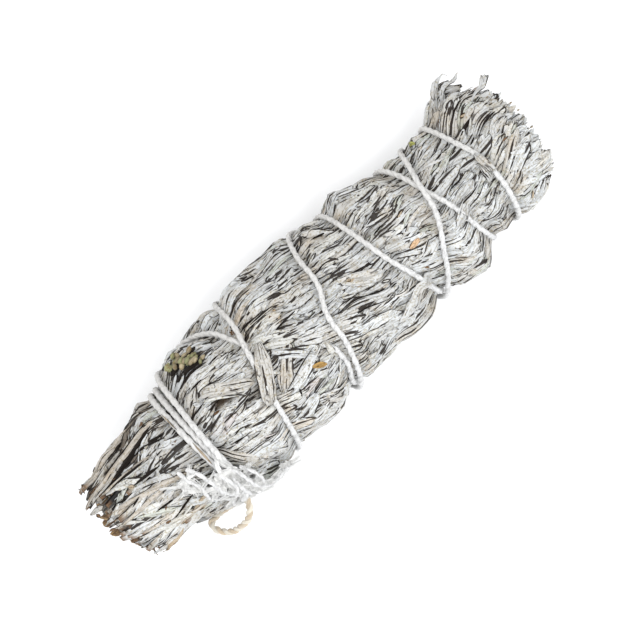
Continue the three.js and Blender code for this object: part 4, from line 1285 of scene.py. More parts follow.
# Those that lie over it.
OVER_STRING: Picked = (
    (LeafKind.LANCE, Tone.SILVER, (
        (45.9, 13.5, 52.9, 16.9, 1.7), (47.6, 13.6, 56.7, 18.0, 1.9),
        (49.3, 13.5, 58.8, 17.7, 1.3),
    )),
    (LeafKind.TOOTHED, Tone.SILVER, (
        (55.4, 10.2, 61.8, 13.3, 2.2),
    )),
    (LeafKind.WRINKLED, Tone.WARM_GREY, (
        (-12.5, 5.0, -20.0, -6.3, 4.1),
    )),
    (LeafKind.WRINKLED, Tone.SILVER, (
        (47.8, 1.3, 48.3, -4.0, 1.9), (46.9, -1.4, 46.5, -5.2, 1.5), (25.2, -11.1, 12.0, -12.6, 3.4),
    )),
    (LeafKind.SPOON, Tone.SILVER, (
        (45.9, -2.8, 34.6, -7.7, 2.8),
    )),
    (LeafKind.SPOON, Tone.PALE, (
        (-2.1, -4.1, -2.8, -8.2, 1.5), (-16.9, 1.1, -13.5, -2.8, 0.9),
    )),
    (LeafKind.LANCE, Tone.GAP_SHADOW, (
        (36.7, -5.6, 44.0, -3.4, 0.4),
    )),
    (LeafKind.LANCE, Tone.TAN, (
        (-37.8, 9.1, -37.6, 4.1, 0.4), (-37.1, -0.0, -37.4, -6.4, 0.5), (-40.1, -9.8, -41.3, -14.0, 0.4),
        (58.1, 9.0, 58.7, 8.7, 0.5), (59.4, 7.5, 60.1, 7.3, 0.5), (60.7, 4.6, 61.5, 4.4, 0.5),
        (60.8, 1.8, 61.5, 1.7, 0.5), (60.3, -3.8, 61.1, -3.9, 0.6), (-59.0, -13.5, -51.8, -12.4, 1.3),
    )),
    (LeafKind.LANCE, Tone.BROWN, (
        (-30.0, 1.1, -28.2, 0.8, 0.6), (-62.4, 12.4, -60.3, 11.9, 1.2), (-61.1, 9.8, -59.1, 9.9, 1.1),
        (-64.0, 8.4, -62.8, 7.9, 0.6), (-62.6, 3.4, -62.9, 4.9, 0.9), (-63.5, -1.5, -61.9, -1.8, 0.9),
        (-61.9, -8.2, -60.2, -8.4, 0.9), (-60.3, -13.2, -58.6, -13.0, 1.3), (-59.3, -14.2, -57.4, -13.9, 1.1),
    )),
    (LeafKind.SCRAP, Tone.FLAKE, (
        (-7.9, -6.6, -5.3, -8.5, 1.5),
    )),
    (LeafKind.SCRAP, Tone.ORANGE, (
        (24.2, -3.2, 27.1, -3.0, 1.3),
    )),
    (LeafKind.SCRAP, Tone.OLIVE, (
        (40.0, 12.4, 41.2, 12.1, 0.9),
    )),
)


@dataclass
class StringLay:
    """The string's one long path round the bundle, and its loop and ends."""

    lower_sink: float = 1.05
    upper_sink: float = 0.25
    spacing: float = 0.38
    lowest: float = 1.0
    covered_middle: float = 1170.0
    covered_reach: float = 34.0
    covered_sink: float = 1.5

    def smooth(self, rows: np.ndarray, by: np.ndarray, at: np.ndarray) -> np.ndarray:
        """Reads a smooth curve through rows of values.

        Args:
            rows: the values, one row for each stop.
            by: where each stop is, in rising order.
            at: where to read.

        Returns:
            One row of values for each place.
        """
        slopes = np.gradient(rows, by, axis=0)
        i = np.clip(np.searchsorted(by, at) - 1, 0, len(by) - 2)
        h = (by[i + 1] - by[i])[:, None]
        t = ((at - by[i]) / (by[i + 1] - by[i]))[:, None]
        a = (2 * t**3 - 3 * t**2 + 1) * rows[i]
        b = (t**3 - 2 * t**2 + t) * h * slopes[i]
        c = (-2 * t**3 + 3 * t**2) * rows[i + 1]
        d = (t**3 - t**2) * h * slopes[i + 1]
        return a + b + c + d

    def wound(self) -> np.ndarray:
        """The wound stretch as rows of x, degrees and distance outside the outline."""
        turned = LOWER_ROUTE[-1][1] - UPPER_ROUTE[0][1]
        stops = list(LOWER_ROUTE) + [(x, a + turned) for x, a in UPPER_ROUTE[1:]]
        rows = np.array(stops, float)
        middle = LOWER_ROUTE[-1][1]
        at = np.arange(rows[0, 1], rows[-1, 1], 1.0)
        x = self.smooth(rows[:, :1], rows[:, 1], at)[:, 0]
        share = np.clip((at - middle + 60) / 120, 0, 1)
        sink = self.lower_sink + (self.upper_sink - self.lower_sink) * share * share * (3 - 2 * share)
        out = -sink + self.humps(x, at, middle)
        covered = np.clip(1 - np.abs(at - self.covered_middle) / self.covered_reach, 0, 1)
        out = out - self.covered_sink * covered * covered * (3 - 2 * covered)
        return np.stack([x, at, out], -1)

    def humps(self, x: np.ndarray, at: np.ndarray, middle: float) -> np.ndarray:
        """How much the upper lay rises where it crosses the lower one."""
        rise = np.zeros_like(x)
        upper = np.where(at > middle + 60)[0]
        lower = np.where(at < middle - 60)[0]
        r = 16.0
        for i in upper:
            apart = (at[lower] - at[i] + 180) % 360 - 180
            gap = np.hypot(x[lower] - x[i], np.radians(apart) * r).min()
            rise[i] = 0.62 * math.exp(-((gap / 1.6) ** 2))
        kernel = np.ones(7) / 7
        return np.convolve(np.pad(rise, 3, mode="edge"), kernel, mode="valid")

    def loose(self, route: Triples) -> np.ndarray:
        """A loose stretch as rows of x, degrees and distance outside the outline."""
        rows = np.array(route, float)
        by = np.arange(len(rows), dtype=float)
        return self.smooth(rows, by, np.linspace(0, len(rows) - 1, 12 * (len(rows) - 1) + 1))

    def points(self, rows: np.ndarray) -> np.ndarray:
        """Evenly spaced points in metres along a stretch."""
        p = BUNDLE.place(rows[:, 0], rows[:, 1], rows[:, 2])
        lift = (self.lowest + 0.02) * MM
        p[:, 2] = lift + 0.0004 * np.logaddexp(0, (p[:, 2] - lift) / 0.0004)
        return self.even(p, self.spacing * MM)

    @staticmethod
    def even(p: np.ndarray, spacing: float) -> np.ndarray:
        """Points along the same line, a fixed distance apart."""
        run = np.concatenate([[0], np.cumsum(np.linalg.norm(np.diff(p, axis=0), axis=1))])
        at = np.linspace(0, run[-1], max(3, int(run[-1] / spacing)))
        return np.stack([np.interp(at, run, p[:, k]) for k in range(3)], -1)


@dataclass
class CottonString:
    """The cotton string: two soft plies twisted together, with a frayed knot, a loop and two ends."""

    lay: StringLay
    ply_radius: float = 0.46
    ply_offset: float = 0.17
    pitch: float = 4.6
    rope_radius: float = 0.38
    rope_offset: float = 0.36
    rope_pitch: float = 2.9
    thin_radius: float = 0.30
    thin_offset: float = 0.14
    knot_place: tuple[float, float, float] = (-35.4, 153, 0.2)
    knot_size: float = 1.25
    knot_leaves: float = 1.6
    knot_weave: float = 0.75
    butt_swelling: float = 0.22
    fuzz_count: int = 1500
    seed: int = 5

    def build(self, material: bpy.types.Material) -> bpy.types.Object:
        """Builds the string as one piece.

        Args:
            material: its finish.

        Returns:
            The piece.
        """
        rng = np.random.default_rng(self.seed)
        white, cream, tan = (0.575, 0.575, 0.57), (0.58, 0.53, 0.43), (0.47, 0.37, 0.24)
        plain = (self.ply_radius, self.ply_offset, self.pitch)
        rope = (self.rope_radius, self.rope_offset, self.rope_pitch)
        thin = (self.thin_radius, self.thin_offset, self.pitch)
        even = (white, white)
        stretches = [(self.lay.points(self.lay.wound()), plain, even), (self.knot(), plain, even)]
        stretches.append((self.lay.points(self.lay.loose(LOOP_ROUTE)), rope, (cream, tan)))
        for route in (LONG_TAIL, SHORT_TAIL):
            stretches.append((self.lay.points(self.lay.loose(route)), plain, even))
        for route in KNOT_STRANDS:
            stretches.append((self.lay.points(self.lay.loose(route)), thin, even))
        gathered = Gathered()
        for number, (line, (radius, offset, pitch), tones) in enumerate(stretches):
            for ply, tone in enumerate(tones):
                centre = self.twisted(line, ply, offset, pitch)
                self.tube(gathered, centre, radius * MM, 2, tone, number * 3 + ply)
        lines = [line for line, _, _ in stretches]
        self.fuzz(gathered, lines, rng)
        self.fray(gathered, rng)
        piece = gathered.piece("cotton_string", material, 60)
        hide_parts("string")
        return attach(piece, "root")

    def knot(self) -> np.ndarray:
        """The knot's own bends, woven over and under each other."""
        x, degrees, out = self.knot_place
        a = math.radians(degrees)
        t = np.linspace(0, 2 * math.pi, 90)
        middle = BUNDLE.place(np.array([x]), np.array([degrees]), np.array([out]))[0]
        lengthwise = np.array([1.0, 0, 0])
        round_way = np.array([0, -math.sin(a), math.cos(a)])
        outwards = np.array([0, math.cos(a), math.sin(a)])
        across = np.sin(t) + self.knot_leaves * np.sin(2 * t)
        up = np.cos(t) - self.knot_leaves * np.cos(2 * t)
        weave = -self.knot_weave * np.sin(3 * t) + 0.5
        line = (
            middle
            + np.outer(across * self.knot_size * MM, lengthwise)
            + np.outer(up * self.knot_size * MM, round_way)
            + np.outer(weave * MM, outwards)
        )
        return self.lay.even(line, self.lay.spacing * MM)

    def frames(self, line: np.ndarray) -> tuple[np.ndarray, np.ndarray]:
        """Two directions square to a line at each of its points, the first of them pointing out of the bundle."""
        ahead = np.gradient(line, axis=0)
        ahead /= np.linalg.norm(ahead, axis=1)[:, None]
        middle = np.array([0, BUNDLE.shift_y * MM, BUNDLE.axis_height * MM])
        out = line - middle
        out[:, 0] = 0
        out -= (out * ahead).sum(1)[:, None] * ahead
        out /= np.linalg.norm(out, axis=1)[:, None]
        return out, np.cross(ahead, out)

    def twisted(self, line: np.ndarray, ply: int, offset: float, pitch: float) -> np.ndarray:
        """One ply's middle line, wound round the string's.

        Args:
            line: the string's middle line.
            ply: the ply's number.
            offset: how far it runs beside the middle line, in millimetres.
            pitch: the length of one turn, in millimetres.

        Returns:
            Its points in metres.
        """
        out, side = self.frames(line)
        run = np.concatenate([[0], np.cumsum(np.linalg.norm(np.diff(line, axis=0), axis=1))])
        turn = 2 * math.pi * run / (pitch * MM) + math.pi * ply
        off = offset * MM
        return line + off * (np.cos(turn)[:, None] * out + np.sin(turn)[:, None] * side)

    def tube(self, gathered: Gathered, centre: np.ndarray, radius: float, roundness: int, tone: Colour,
             number: float) -> None:
        """Adds a tube along a line.

        Args:
            gathered: what it is added to.
            centre: the line's points in metres.
            radius: the tube's radius in metres.
            roundness: bevel steps of its section.
            tone: its colour.
            number: tells its fibres from those of the other tubes.
        """
        curve = bpy.data.curves.new("ply", "CURVE")
        curve.dimensions = "3D"
        curve.bevel_depth = radius
        curve.bevel_resolution = roundness
        curve.use_fill_caps = True
        spline = curve.splines.new("POLY")
        spline.points.add(len(centre) - 1)
        spline.points.foreach_set("co", np.c_[centre, np.ones(len(centre))].ravel())
        near_butt = np.clip(-0.5 - (centre[:, 0] / MM - BUNDLE.shift_x + 31) / 3, 0, 1)
        spline.points.foreach_set("radius", 1 + self.butt_swelling * near_butt)
        obj = bpy.data.objects.new("ply", curve)
        bpy.context.scene.collection.objects.link(obj)
        only_select(obj)
        bpy.ops.object.convert(target="MESH")
        corners, ring, sizes = take_shape(bpy.context.object)
        run = np.concatenate([[0], np.cumsum(np.linalg.norm(np.diff(centre, axis=0), axis=1))]) / MM
        nearest = np.empty(len(corners), int)
        for start in range(0, len(corners), 4000):
            part = corners[start:start + 4000]
            low = ((part[:, None, :] - centre[None, ::1, :]) ** 2).sum(-1)
            nearest[start:start + 4000] = low.argmin(1)
        away = corners - centre[nearest]
        out, side = self.frames(centre)
        turn = np.arctan2((away * side[nearest]).sum(1), (away * out[nearest]).sum(1))
        lay = np.stack(
            [radius / MM * np.cos(turn) + 0.5 * run[nearest], radius / MM * np.sin(turn) + run[nearest] * 0.4,
             np.full(len(corners), number)], -1
        )
        # Painted light and shade across the bundle.
        gathered.add(corners, np.array(tone) * self.painted_side_shade(corners), lay, ring, sizes)

    def painted_side_shade(self, corners: np.ndarray) -> np.ndarray:
        """Painted light and shade on the string's colour: whitest on the lit lower right, greyer and warmer on the
        upper left.

        Args:
            corners: places in metres.

        Returns:
            What its colour is multiplied by at each of them.
        """
        shaded_side = np.clip((corners[:, 1:2] / MM + 6) / 20, 0, 1)
        return (1.16 - 0.3 * shaded_side) * (1 - shaded_side * np.array([0.0, 0.03, 0.08]))

    def hair(self) -> tuple[np.ndarray, np.ndarray, np.ndarray]:
        """Models one loose fibre: a thin three-sided spike, one long.

        Returns:
            Corners, the corner numbers of its faces, and each face's corner count.
        """
        bpy.ops.object.select_all(action="DESELECT")
        bpy.ops.mesh.primitive_cone_add(
            vertices=3, radius1=1.0, radius2=0.35, depth=1.0, location=(0, 0, 0.5), end_fill_type="NGON"
        )
        obj = bpy.context.object
        bpy.ops.object.transform_apply(location=True, rotation=True, scale=True)
        bpy.ops.object.mode_set(mode="EDIT")
        bpy.ops.mesh.select_all(action="SELECT")
        bpy.ops.mesh.bisect(plane_co=(0, 0, 0.33), plane_no=(0, 0, 1))
        bpy.ops.mesh.select_all(action="SELECT")
        bpy.ops.mesh.bisect(plane_co=(0, 0, 0.67), plane_no=(0, 0, 1))
        bpy.ops.object.mode_set(mode="OBJECT")
        return take_shape(obj)

    def strand(self, gathered: Gathered, shape: tuple[np.ndarray, np.ndarray, np.ndarray], stops: np.ndarray,
               radius: float, tone: Colour) -> None:
        """Adds a copy of the loose fibre, bent through four points.

        Args:
            gathered: what it is added to.
            shape: the modelled fibre.
            stops: four points in metres.
            radius: its radius in metres.
            tone: its colour.
        """
        corners, ring, sizes = shape
        t = np.clip(corners[:, 2], 0, 1)
        weights = np.stack([(1 - t) ** 3, 3 * t * (1 - t) ** 2, 3 * t * t * (1 - t), t**3], -1)
        centre = weights @ stops
        ahead = stops[3] - stops[0]
        ahead = ahead / max(np.linalg.norm(ahead), 1e-9)
        guide = np.array([0.31, 0.52, 0.79])
        one = np.cross(ahead, guide)
        one /= np.linalg.norm(one)
        two = np.cross(ahead, one)
        points = centre + radius * (corners[:, :1] * one + corners[:, 1:2] * two)
        points[:, 2] = np.maximum(points[:, 2], BUNDLE.floor_gap * MM)
        lay = np.c_[corners[:, :2] * radius / MM, t]
        gathered.add(points, np.tile(np.array(tone), (len(points), 1)), lay, ring, sizes)

    def fuzz(self, gathered: Gathered, lines: list[np.ndarray], rng: np.random.Generator) -> None:
        """Adds short loose fibres all along the string."""
        shape = self.hair()
        lengths = np.array([len(line) for line in lines], float)
        for _ in range(self.fuzz_count):
            line = lines[int(rng.choice(len(lines), p=lengths / lengths.sum()))]
            i = int(rng.integers(1, len(line) - 1))
            ahead = line[i + 1] - line[i - 1]
            ahead /= np.linalg.norm(ahead)
            off = rng.normal(size=3)
            off -= (off @ ahead) * ahead
            off /= np.linalg.norm(off)
            long = rng.uniform(0.8, 2.6) * MM
            start = line[i] + off * 0.6 * MM
            out = off * rng.uniform(0.05, 0.32) * MM
            stops = np.array([start, start + ahead * long * 0.3 + out, start + ahead * long * 0.7 + out * 1.8,
                              start + ahead * long + out * rng.uniform(0.3, 3.0)])
            self.strand(gathered, shape, stops, rng.uniform(0.018, 0.034) * MM, (0.57, 0.57, 0.57))

    def fray(self, gathered: Gathered, rng: np.random.Generator) -> None:
        """Adds the unravelled strands and fibres round the knot and at the string's ends."""
        shape = self.hair()
        places = [((-35.4, 150, 1.3), 70, 4.4, 2.0), ((-37.6, 127, 0.9), 52, 4.2, 2.2),
                  ((-43.6, 110, 0.3), 14, 5.0, 1.1), ((-27.4, 160.5, 1.3), 14, 3.2, 0.9),
                  ((-39.9, 163, 0.8), 12, 2.6, 0.8)]
        for (x, degrees, out), count, reach, wide in places:
            for _ in range(count):
                heading = rng.uniform(0, 2 * math.pi)
                long = reach * rng.uniform(0.5, 1.2)
                x0, a0 = x + rng.normal(0, wide), degrees + rng.normal(0, wide * 3.2)
                turn = rng.uniform(-0.8, 0.8)
                rows = []
                for k in range(4):
                    way = heading + turn * k
                    x0 = x0 + long / 3 * math.cos(way) * (k > 0)
                    a0 = a0 + math.degrees(long / 3 * math.sin(way) * (k > 0) / 15.5)
                    rows.append((x0, a0, out + rng.uniform(0.1, 0.8)))
                rows = np.array(rows)
                width = rng.uniform(0.25, 0.75)
                tone = rng.uniform(0.62, 0.92)
                sideways = heading + turn * 1.5 + math.pi / 2
                for _ in range(int(rng.integers(9, 17))):
                    off = rng.uniform(-width, width)
                    near = rows + rng.normal(size=(4, 3)) * (0.07, 0.25, 0.08)
                    near[:, 0] += off * math.cos(sideways)
                    near[:, 1] += math.degrees(off * math.sin(sideways) / 15.5)
                    stops = BUNDLE.place(near[:, 0], near[:, 1], near[:, 2])
                    self.strand(gathered, shape, stops, rng.uniform(0.05, 0.12) * MM,
                                (tone, 0.995 * tone, 0.97 * tone))


@dataclass
class SprigBuilder:
    """Lays the sprigs' leaves layer by layer, in sprays that follow the flow of the photograph's leaves."""

    bed: LeafBed
    seed: int = 23
    base_layers: int = 2
    spray_pitch: float = 5.4
    # Painted shade of each layer of sprays: the lower ones darkened, to show as shade in the gaps.
    layer_shades: tuple[float, ...] = (0.08, 0.32, 1.0, 1.0, 1.0)
    wave: float = 11.0
    tip_ends: Pairs = (
        (0, 57.0), (16, 57.4), (24, 55.2), (38, 54.8), (44, 59.5), (52, 60.9), (66, 61.6), (101, 61.2), (142, 59.8),
        (175, 57.6), (230, 59.5), (296, 59.5), (316, 55.2), (340, 55.2), (360, 57.0),
    )

    def __post_init__(self) -> None:
        """Turns the flow list into places on the bundle."""
        self.rng = np.random.default_rng(self.seed)
        flow = np.array(FLOW, float)
        self.flow_x = flow[:, 0]
        self.flow_a = np.array([BUNDLE.angle_of(x, side) for x, side, _ in FLOW])
        self.flow_heading = flow[:, 2]

    def heading(self, x: float, degrees: float) -> float:
        """Which way the leaves run at a place."""
        apart = (self.flow_a - degrees + 180) % 360 - 180
        away = np.hypot(self.flow_x - x, np.radians(apart) * 16)
        weight = np.exp(-((away / 6.0) ** 2) / 2)
        general = self.wave * math.sin(0.12 * x + math.radians(2 * degrees) + 1.1)
        general += 0.5 * self.wave * math.sin(0.31 * x - math.radians(3 * degrees))
        if abs(x) > 46:
            general *= 0.4
        return float((weight @ self.flow_heading + 0.12 * general) / (weight.sum() + 0.12))

    @staticmethod
    def face_up(degrees: float) -> float:
        """How far a leaf near the outline is rolled, so that more of its face shows from above."""
        across = math.cos(math.radians(degrees))
        return -math.copysign(170 * max(0.0, abs(across) - 0.8), across)

    def brightness(self, x: float, degrees: float) -> float:
        """Painted light and shade of the leaves at a place: a little lighter on the lower right, darker on the upper
        left, most at the tips there.
        """
        tips = min(1.0, max(0.0, (x - 38) / 8))
        lit = max(0.0, -math.cos(math.radians(degrees)))
        return 0.925 + 0.03 * lit - float(BUNDLE.gloom(x, degrees)) * (0.2 + 0.12 * tips)

    def deep_shade(self, shade: float, x: float, degrees: float) -> float:
        """Painted shade of a lower layer at a place: lighter where it is less gloomy there, and lifted near the tips.
        """
        open_share = 0.5 - 0.5 * min(1.0, float(BUNDLE.gloom(x, degrees)) / 0.6)
        tips = min(1.0, max(0.0, (x - 41) / 4))
        return shade + max(open_share, tips) * max(0.0, 0.8 - shade)

    def tone(self, x: float, degrees: float) -> Colour:
        """A leaf's colour at a place, with a few browner and greener ones among the grey, and the place's painted light
        and shade.
        """
        names = [Tone.SILVER, Tone.BLUE_WHITE, Tone.WARM_GREY, Tone.BEIGE, Tone.GREEN_GREY, Tone.PALE, Tone.TAN,
                 Tone.PINK]
        # More bluer white leaves on the lower right: partly their own colour, partly painted light on the lit side.
        lower_right = 0.5 - 0.5 * math.cos(math.radians(degrees))
        butt = min(1.0, max(0.0, (-38 - x) / 8))
        weights = np.array([
            3.8, 2.2 + (2.4 + 2.0 * butt) * lower_right, 1.3 + 1.0 * butt, 0.25 + butt * (1 - lower_right), 0.7, 1.2,
            0.25 * butt, 0.1,
        ])
        pick = names[int(self.rng.choice(len(names), p=weights / weights.sum()))]
        # Painted light and shade of the place.
        value = self.rng.uniform(0.93, 1.06) * self.brightness(x, degrees)
        return tuple(min(0.8, c * value) for c in pick.value)

    def build(self, material: bpy.types.Material, lay: StringLay) -> list[bpy.types.Object]:
        """Lays all leaves and makes the sprigs' pieces.

        Args:
            material: the leaves' finish.
            lay: the string, under which the leaves are pressed.

        Returns:
            The twelve pieces.
        """
        wound = lay.wound()
        seen = wound[np.abs(wound[:, 1] - lay.covered_middle) > 0.75 * lay.covered_reach][::3]
        self.bed.press(seen[:, 0], seen[:, 1], seen[:, 2])
        self.fill_ends()
        self.lay_base()
        self.lay_butt()
        self.lay_sprays()
        self.lay_picked(UNDER_STRING, 0.3)
        self.lay_scraps(260, -0.2)
        self.bed.settle(wound[:, 0], wound[:, 1], wound[:, 2])
        self.lay_picked(OVER_STRING, 0.15)
        self.lay_scraps(20, 0.0)
        pieces = []
        for number in sorted(self.bed.pieces):
            gathered = self.bed.pieces[number]
            name = f"sprig_{number + 1:02d}"
            piece = gathered.piece(f"{name}_foliage", material)
            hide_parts(f"{name}_leaves")
            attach(piece, "root")
            log.info("%s: %d triangles", piece.name, gathered.triangles())
            pieces.append(piece)
        return pieces

    def lay_base(self) -> None:
        """Lays broad leaves all round, deep in the bundle, under those that show, darkened as painted shade."""
        rng = self.rng
        leaves = []
        for _ in range(self.base_layers):
            for x in np.arange(-58, 47, 6.0):
                for degrees in np.arange(0, 360, 12.0):
                    leaves.append((x + rng.uniform(-3, 3), degrees + rng.uniform(-6, 6)))
        for i in rng.permutation(len(leaves)):
            x, degrees = leaves[i]
            # Painted shade: the deep leaves are darkened to show as shade in the gaps.
            tone = tuple(0.14 * c for c in (Tone.TAN if rng.random() < 0.4 else Tone.WARM_GREY).value)
            self.bed.lay(Leaf(
                LeafKind.BROAD, x, degrees, self.heading(x, degrees) + rng.normal(0, 5), min(15.0, 53 - x),
                rng.uniform(1.2, 1.7), tone, arch=0.25, sink=0.0, thickness=0.3,
            ))

    def lay_sprays(self) -> None:
        """Lays sprays of leaves over the sides, from the tips down to the butt in each layer, the lower layers darkened
        as painted shade.
        """
        rng = self.rng
        for layer, shade in enumerate(self.layer_shades):
            sprays = []
            for x in np.arange(-44, 53, self.spray_pitch * 1.35):
                for degrees in np.arange(0, 360, math.degrees(self.spray_pitch / 15.8)):
                    sprays.append((x + rng.uniform(-4, 4), degrees + rng.uniform(-9, 9)))
            sprays.sort(key=lambda s: -s[0] + rng.uniform(-9, 9))
            for x, degrees in sprays:
                loose = (0.04 + 0.32 * float(BUNDLE.gloom(x, degrees))) * (layer > 2)
                if rng.random() >= loose:
                    self.spray(x, degrees, self.deep_shade(shade, x, degrees))

    def spray(self, x: float, degrees: float, brightness: float) -> None:
        """Lays one spray of leaves that share a root.

        Args:
            x: the root's station.
            degrees: the root's angle.
            brightness: how bright its leaves are; the lower layers' painted shade makes them darker and browner.
        """
        rng = self.rng
        heading = self.heading(x + 5, degrees) + rng.normal(0, 9 + 8 * abs(math.cos(math.radians(degrees))))
        count = int(rng.integers(3, 6))
        kinds = [LeafKind.LANCE] * 4 + [LeafKind.SPOON] * 4 + [LeafKind.FOLDED] * 3 + [LeafKind.TOOTHED]
        # Painted shade: the lower layers are darker and browner.
        shade = brightness * rng.uniform(0.95, 1.04)
        deep = np.array([1.0, 0.86, 0.74]) if brightness < 0.4 else np.ones(3)
        bend = rng.normal(0, 4)
        for k in range(count):
            aside = (k - (count - 1) / 2) + rng.normal(0, 0.25)
            x0 = x + rng.uniform(-2.5, 2.5) - 0.5 * abs(aside)
            a0 = degrees + math.degrees(aside * 0.8 / 15.8)
            end = float(along(self.tip_ends, a0 % FULL_TURN)) - 5.5 * rng.random() ** 1.5
            length = min(rng.uniform(7.0, 14.5), end - x0)
            if length < 4:
                continue
            tone = tuple(shade * deep * self.tone(x0, a0))
            wide = rng.random() < 0.5
            if x0 > 38:
                kinds = [LeafKind.SPOON, LeafKind.SPOON, LeafKind.BROAD, LeafKind.FOLDED]
            self.bed.lay(Leaf(
                LeafKind.WRINKLED if wide else kinds[int(rng.integers(len(kinds)))], x0, a0,
                heading + aside * rng.uniform(3.0, 7.0), length * (1.2 if wide and x0 < 40 else 1.0),
                rng.uniform(1.1, 2.1) if wide else rng.uniform(0.55, 0.95), tone, bend=bend + rng.normal(0, 4),
                arch=rng.uniform(-0.05, 0.12), fold=rng.uniform(-0.06, 0.08), roll=self.face_up(a0) + rng.normal(0, 3),
                lift=rng.uniform(0.0, 0.35) + (rng.uniform(0.3, 0.9) if rng.random() < 0.05 else 0),
                sink=rng.uniform(0.2, 0.7), thickness=rng.uniform(0.3, 0.5) if wide else rng.uniform(0.15, 0.26),
            ))

    def lay_butt(self) -> None:
        """Lays the leaf bases that run out to the cut end: dark ones below as painted shade, then broad ones with gaps
        between.
        """
        rng = self.rng
        strips = []
        for _ in range(2):
            for degrees in np.arange(0, 360, 5.0):
                # Lower strips, darkened with painted shade.
                strips.append((rng.uniform(-61.5, -52), degrees + rng.uniform(-3, 3), rng.uniform(10, 20), 0.06, 0.0))
        for i in rng.permutation(len(strips)):
            x, degrees, length, shade, stray = strips[i]
            self.base(x, degrees, length, self.deep_shade(shade, x, degrees), stray)
        for x_first, x_last, count in ((-63.6, -59.5, 84), (-57.0, -46.0, 58)):
            for k in range(count):
                degrees = rng.uniform(0, 360)
                if rng.random() > 0.4 * float(BUNDLE.gloom(-55, degrees)):
                    self.base(rng.uniform(x_first, x_last), degrees, rng.uniform(15, 28), 1.15, 2.5)
        for _ in range(110):
            degrees, side = rng.uniform(0, 360), rng.choice((-1, 1))
            if rng.random() > 0.6 * float(BUNDLE.gloom(-55, degrees)):
                self.base(rng.uniform(-60, -43), degrees, rng.uniform(7, 15), 1.15, side * rng.uniform(9, 30))

    def base(self, x: float, degrees: float, length: float, shade: float, stray: float) -> None:
        """Lays one leaf base at the butt.

        Args:
            x: its lower end.
            degrees: its angle round the bundle.
            length: its length.
            shade: its brightness, low for the lower strips, which are painted shade.
            stray: how much it lies across the others, in degrees, or 0 for one that lies under them.
        """
        rng = self.rng
        x = max(x, -63.6 + 2.5 * abs(math.cos(math.radians(degrees))) ** 2 + rng.uniform(0, 1.7))
        across = abs(stray) > 8
        fade = 0.97 + 0.03 * math.cos(math.radians(degrees))
        self.bed.lay(Leaf(
            (LeafKind.LANCE if across else LeafKind.STRIP, LeafKind.WRINKLED)[int(rng.random() < 0.28)], x, degrees,
            self.heading(x, degrees) + (stray if across else rng.normal(0, 1 + stray)), length,
            rng.uniform(0.55, 1.15), tuple(shade * fade * c for c in self.tone(x, degrees)),
            bend=rng.normal(0, 14 if across else 3), arch=rng.uniform(-0.05, 0.2), fold=rng.uniform(-0.06, 0.1),
            roll=rng.normal(0, 7), lift=rng.uniform(0, 0.3), sink=rng.uniform(-0.2, 0.2),
            thickness=rng.uniform(0.22, 0.4), cut_end=not across,
        ))

    def fill_ends(self) -> None:
        """Fills both ends with the leaves that the outer ones hide from the side."""
        rng = self.rng
        for _ in range(620):
            share = math.sqrt(rng.uniform(0.004, 0.72))
            degrees = rng.uniform(0, 360)
            x = rng.uniform(42, 49)
            seen_at = math.degrees(math.acos(share * math.cos(math.radians(degrees))))
            end = 1.2 + min(float(v) for v in along(self.tip_ends, np.array([degrees, seen_at])))
            end -= 1.6 * share**2 + rng.uniform(0, 5.5)
            # Painted shade: a little darker inside the tips.
            self.bed.lay(Leaf(
                (LeafKind.SPOON, LeafKind.SPOON, LeafKind.FOLDED, LeafKind.LANCE)[int(rng.integers(4))], x, degrees,
                rng.normal(0, 7), end - x, rng.uniform(0.55, 0.95), tuple(0.92 * c for c in self.tone(x, degrees)),
                bend=rng.normal(0, 14), arch=rng.uniform(-0.3, 0.5), roll=rng.normal(0, 24), share=share,
                fan=rng.uniform(-0.06, 0.10), thickness=0.16,
            ))
        for _ in range(430):
            share = math.sqrt(rng.uniform(0.004, 0.6))
            degrees = rng.uniform(0, 360)
            x = -62.6 + 2.4 * share**2 + rng.uniform(0, 3.5)
            # Painted shade: darker inside the butt.
            self.bed.lay(Leaf(
                LeafKind.STRIP, x, degrees, rng.normal(0, 4), rng.uniform(12, 20), rng.uniform(0.4, 0.9),
                tuple(0.66 * c for c in self.tone(x, degrees)), bend=rng.normal(0, 5), arch=rng.uniform(-0.3, 0.4),
                roll=rng.normal(0, 35), share=share, thickness=0.22, cut_end=True,
            ))

    def lay_scraps(self, count: int, sink: float) -> None:
        """Strews torn bits of leaf and bark over the bundle.

        Args:
            count: how many.
            sink: how deep they are pressed in.
        """
        rng = self.rng
        tones = [Tone.TAN, Tone.BROWN, Tone.PALE, Tone.PALE, Tone.BEIGE, Tone.SILVER, Tone.SILVER]
        for _ in range(count):
            x, degrees = rng.uniform(-58, 56), rng.uniform(0, 360)
            # Painted light and shade of the place.
            tone = tuple(self.brightness(x, degrees) * c for c in tones[int(rng.integers(len(tones)))].value)
            self.bed.lay(Leaf(
                LeafKind.SCRAP, x, degrees, rng.uniform(-60, 60), rng.uniform(0.7, 2.4), rng.uniform(0.18, 0.6),
                tone, arch=rng.uniform(-0.1, 0.25), roll=rng.normal(0, 15), sink=sink, thickness=0.14,
            ))

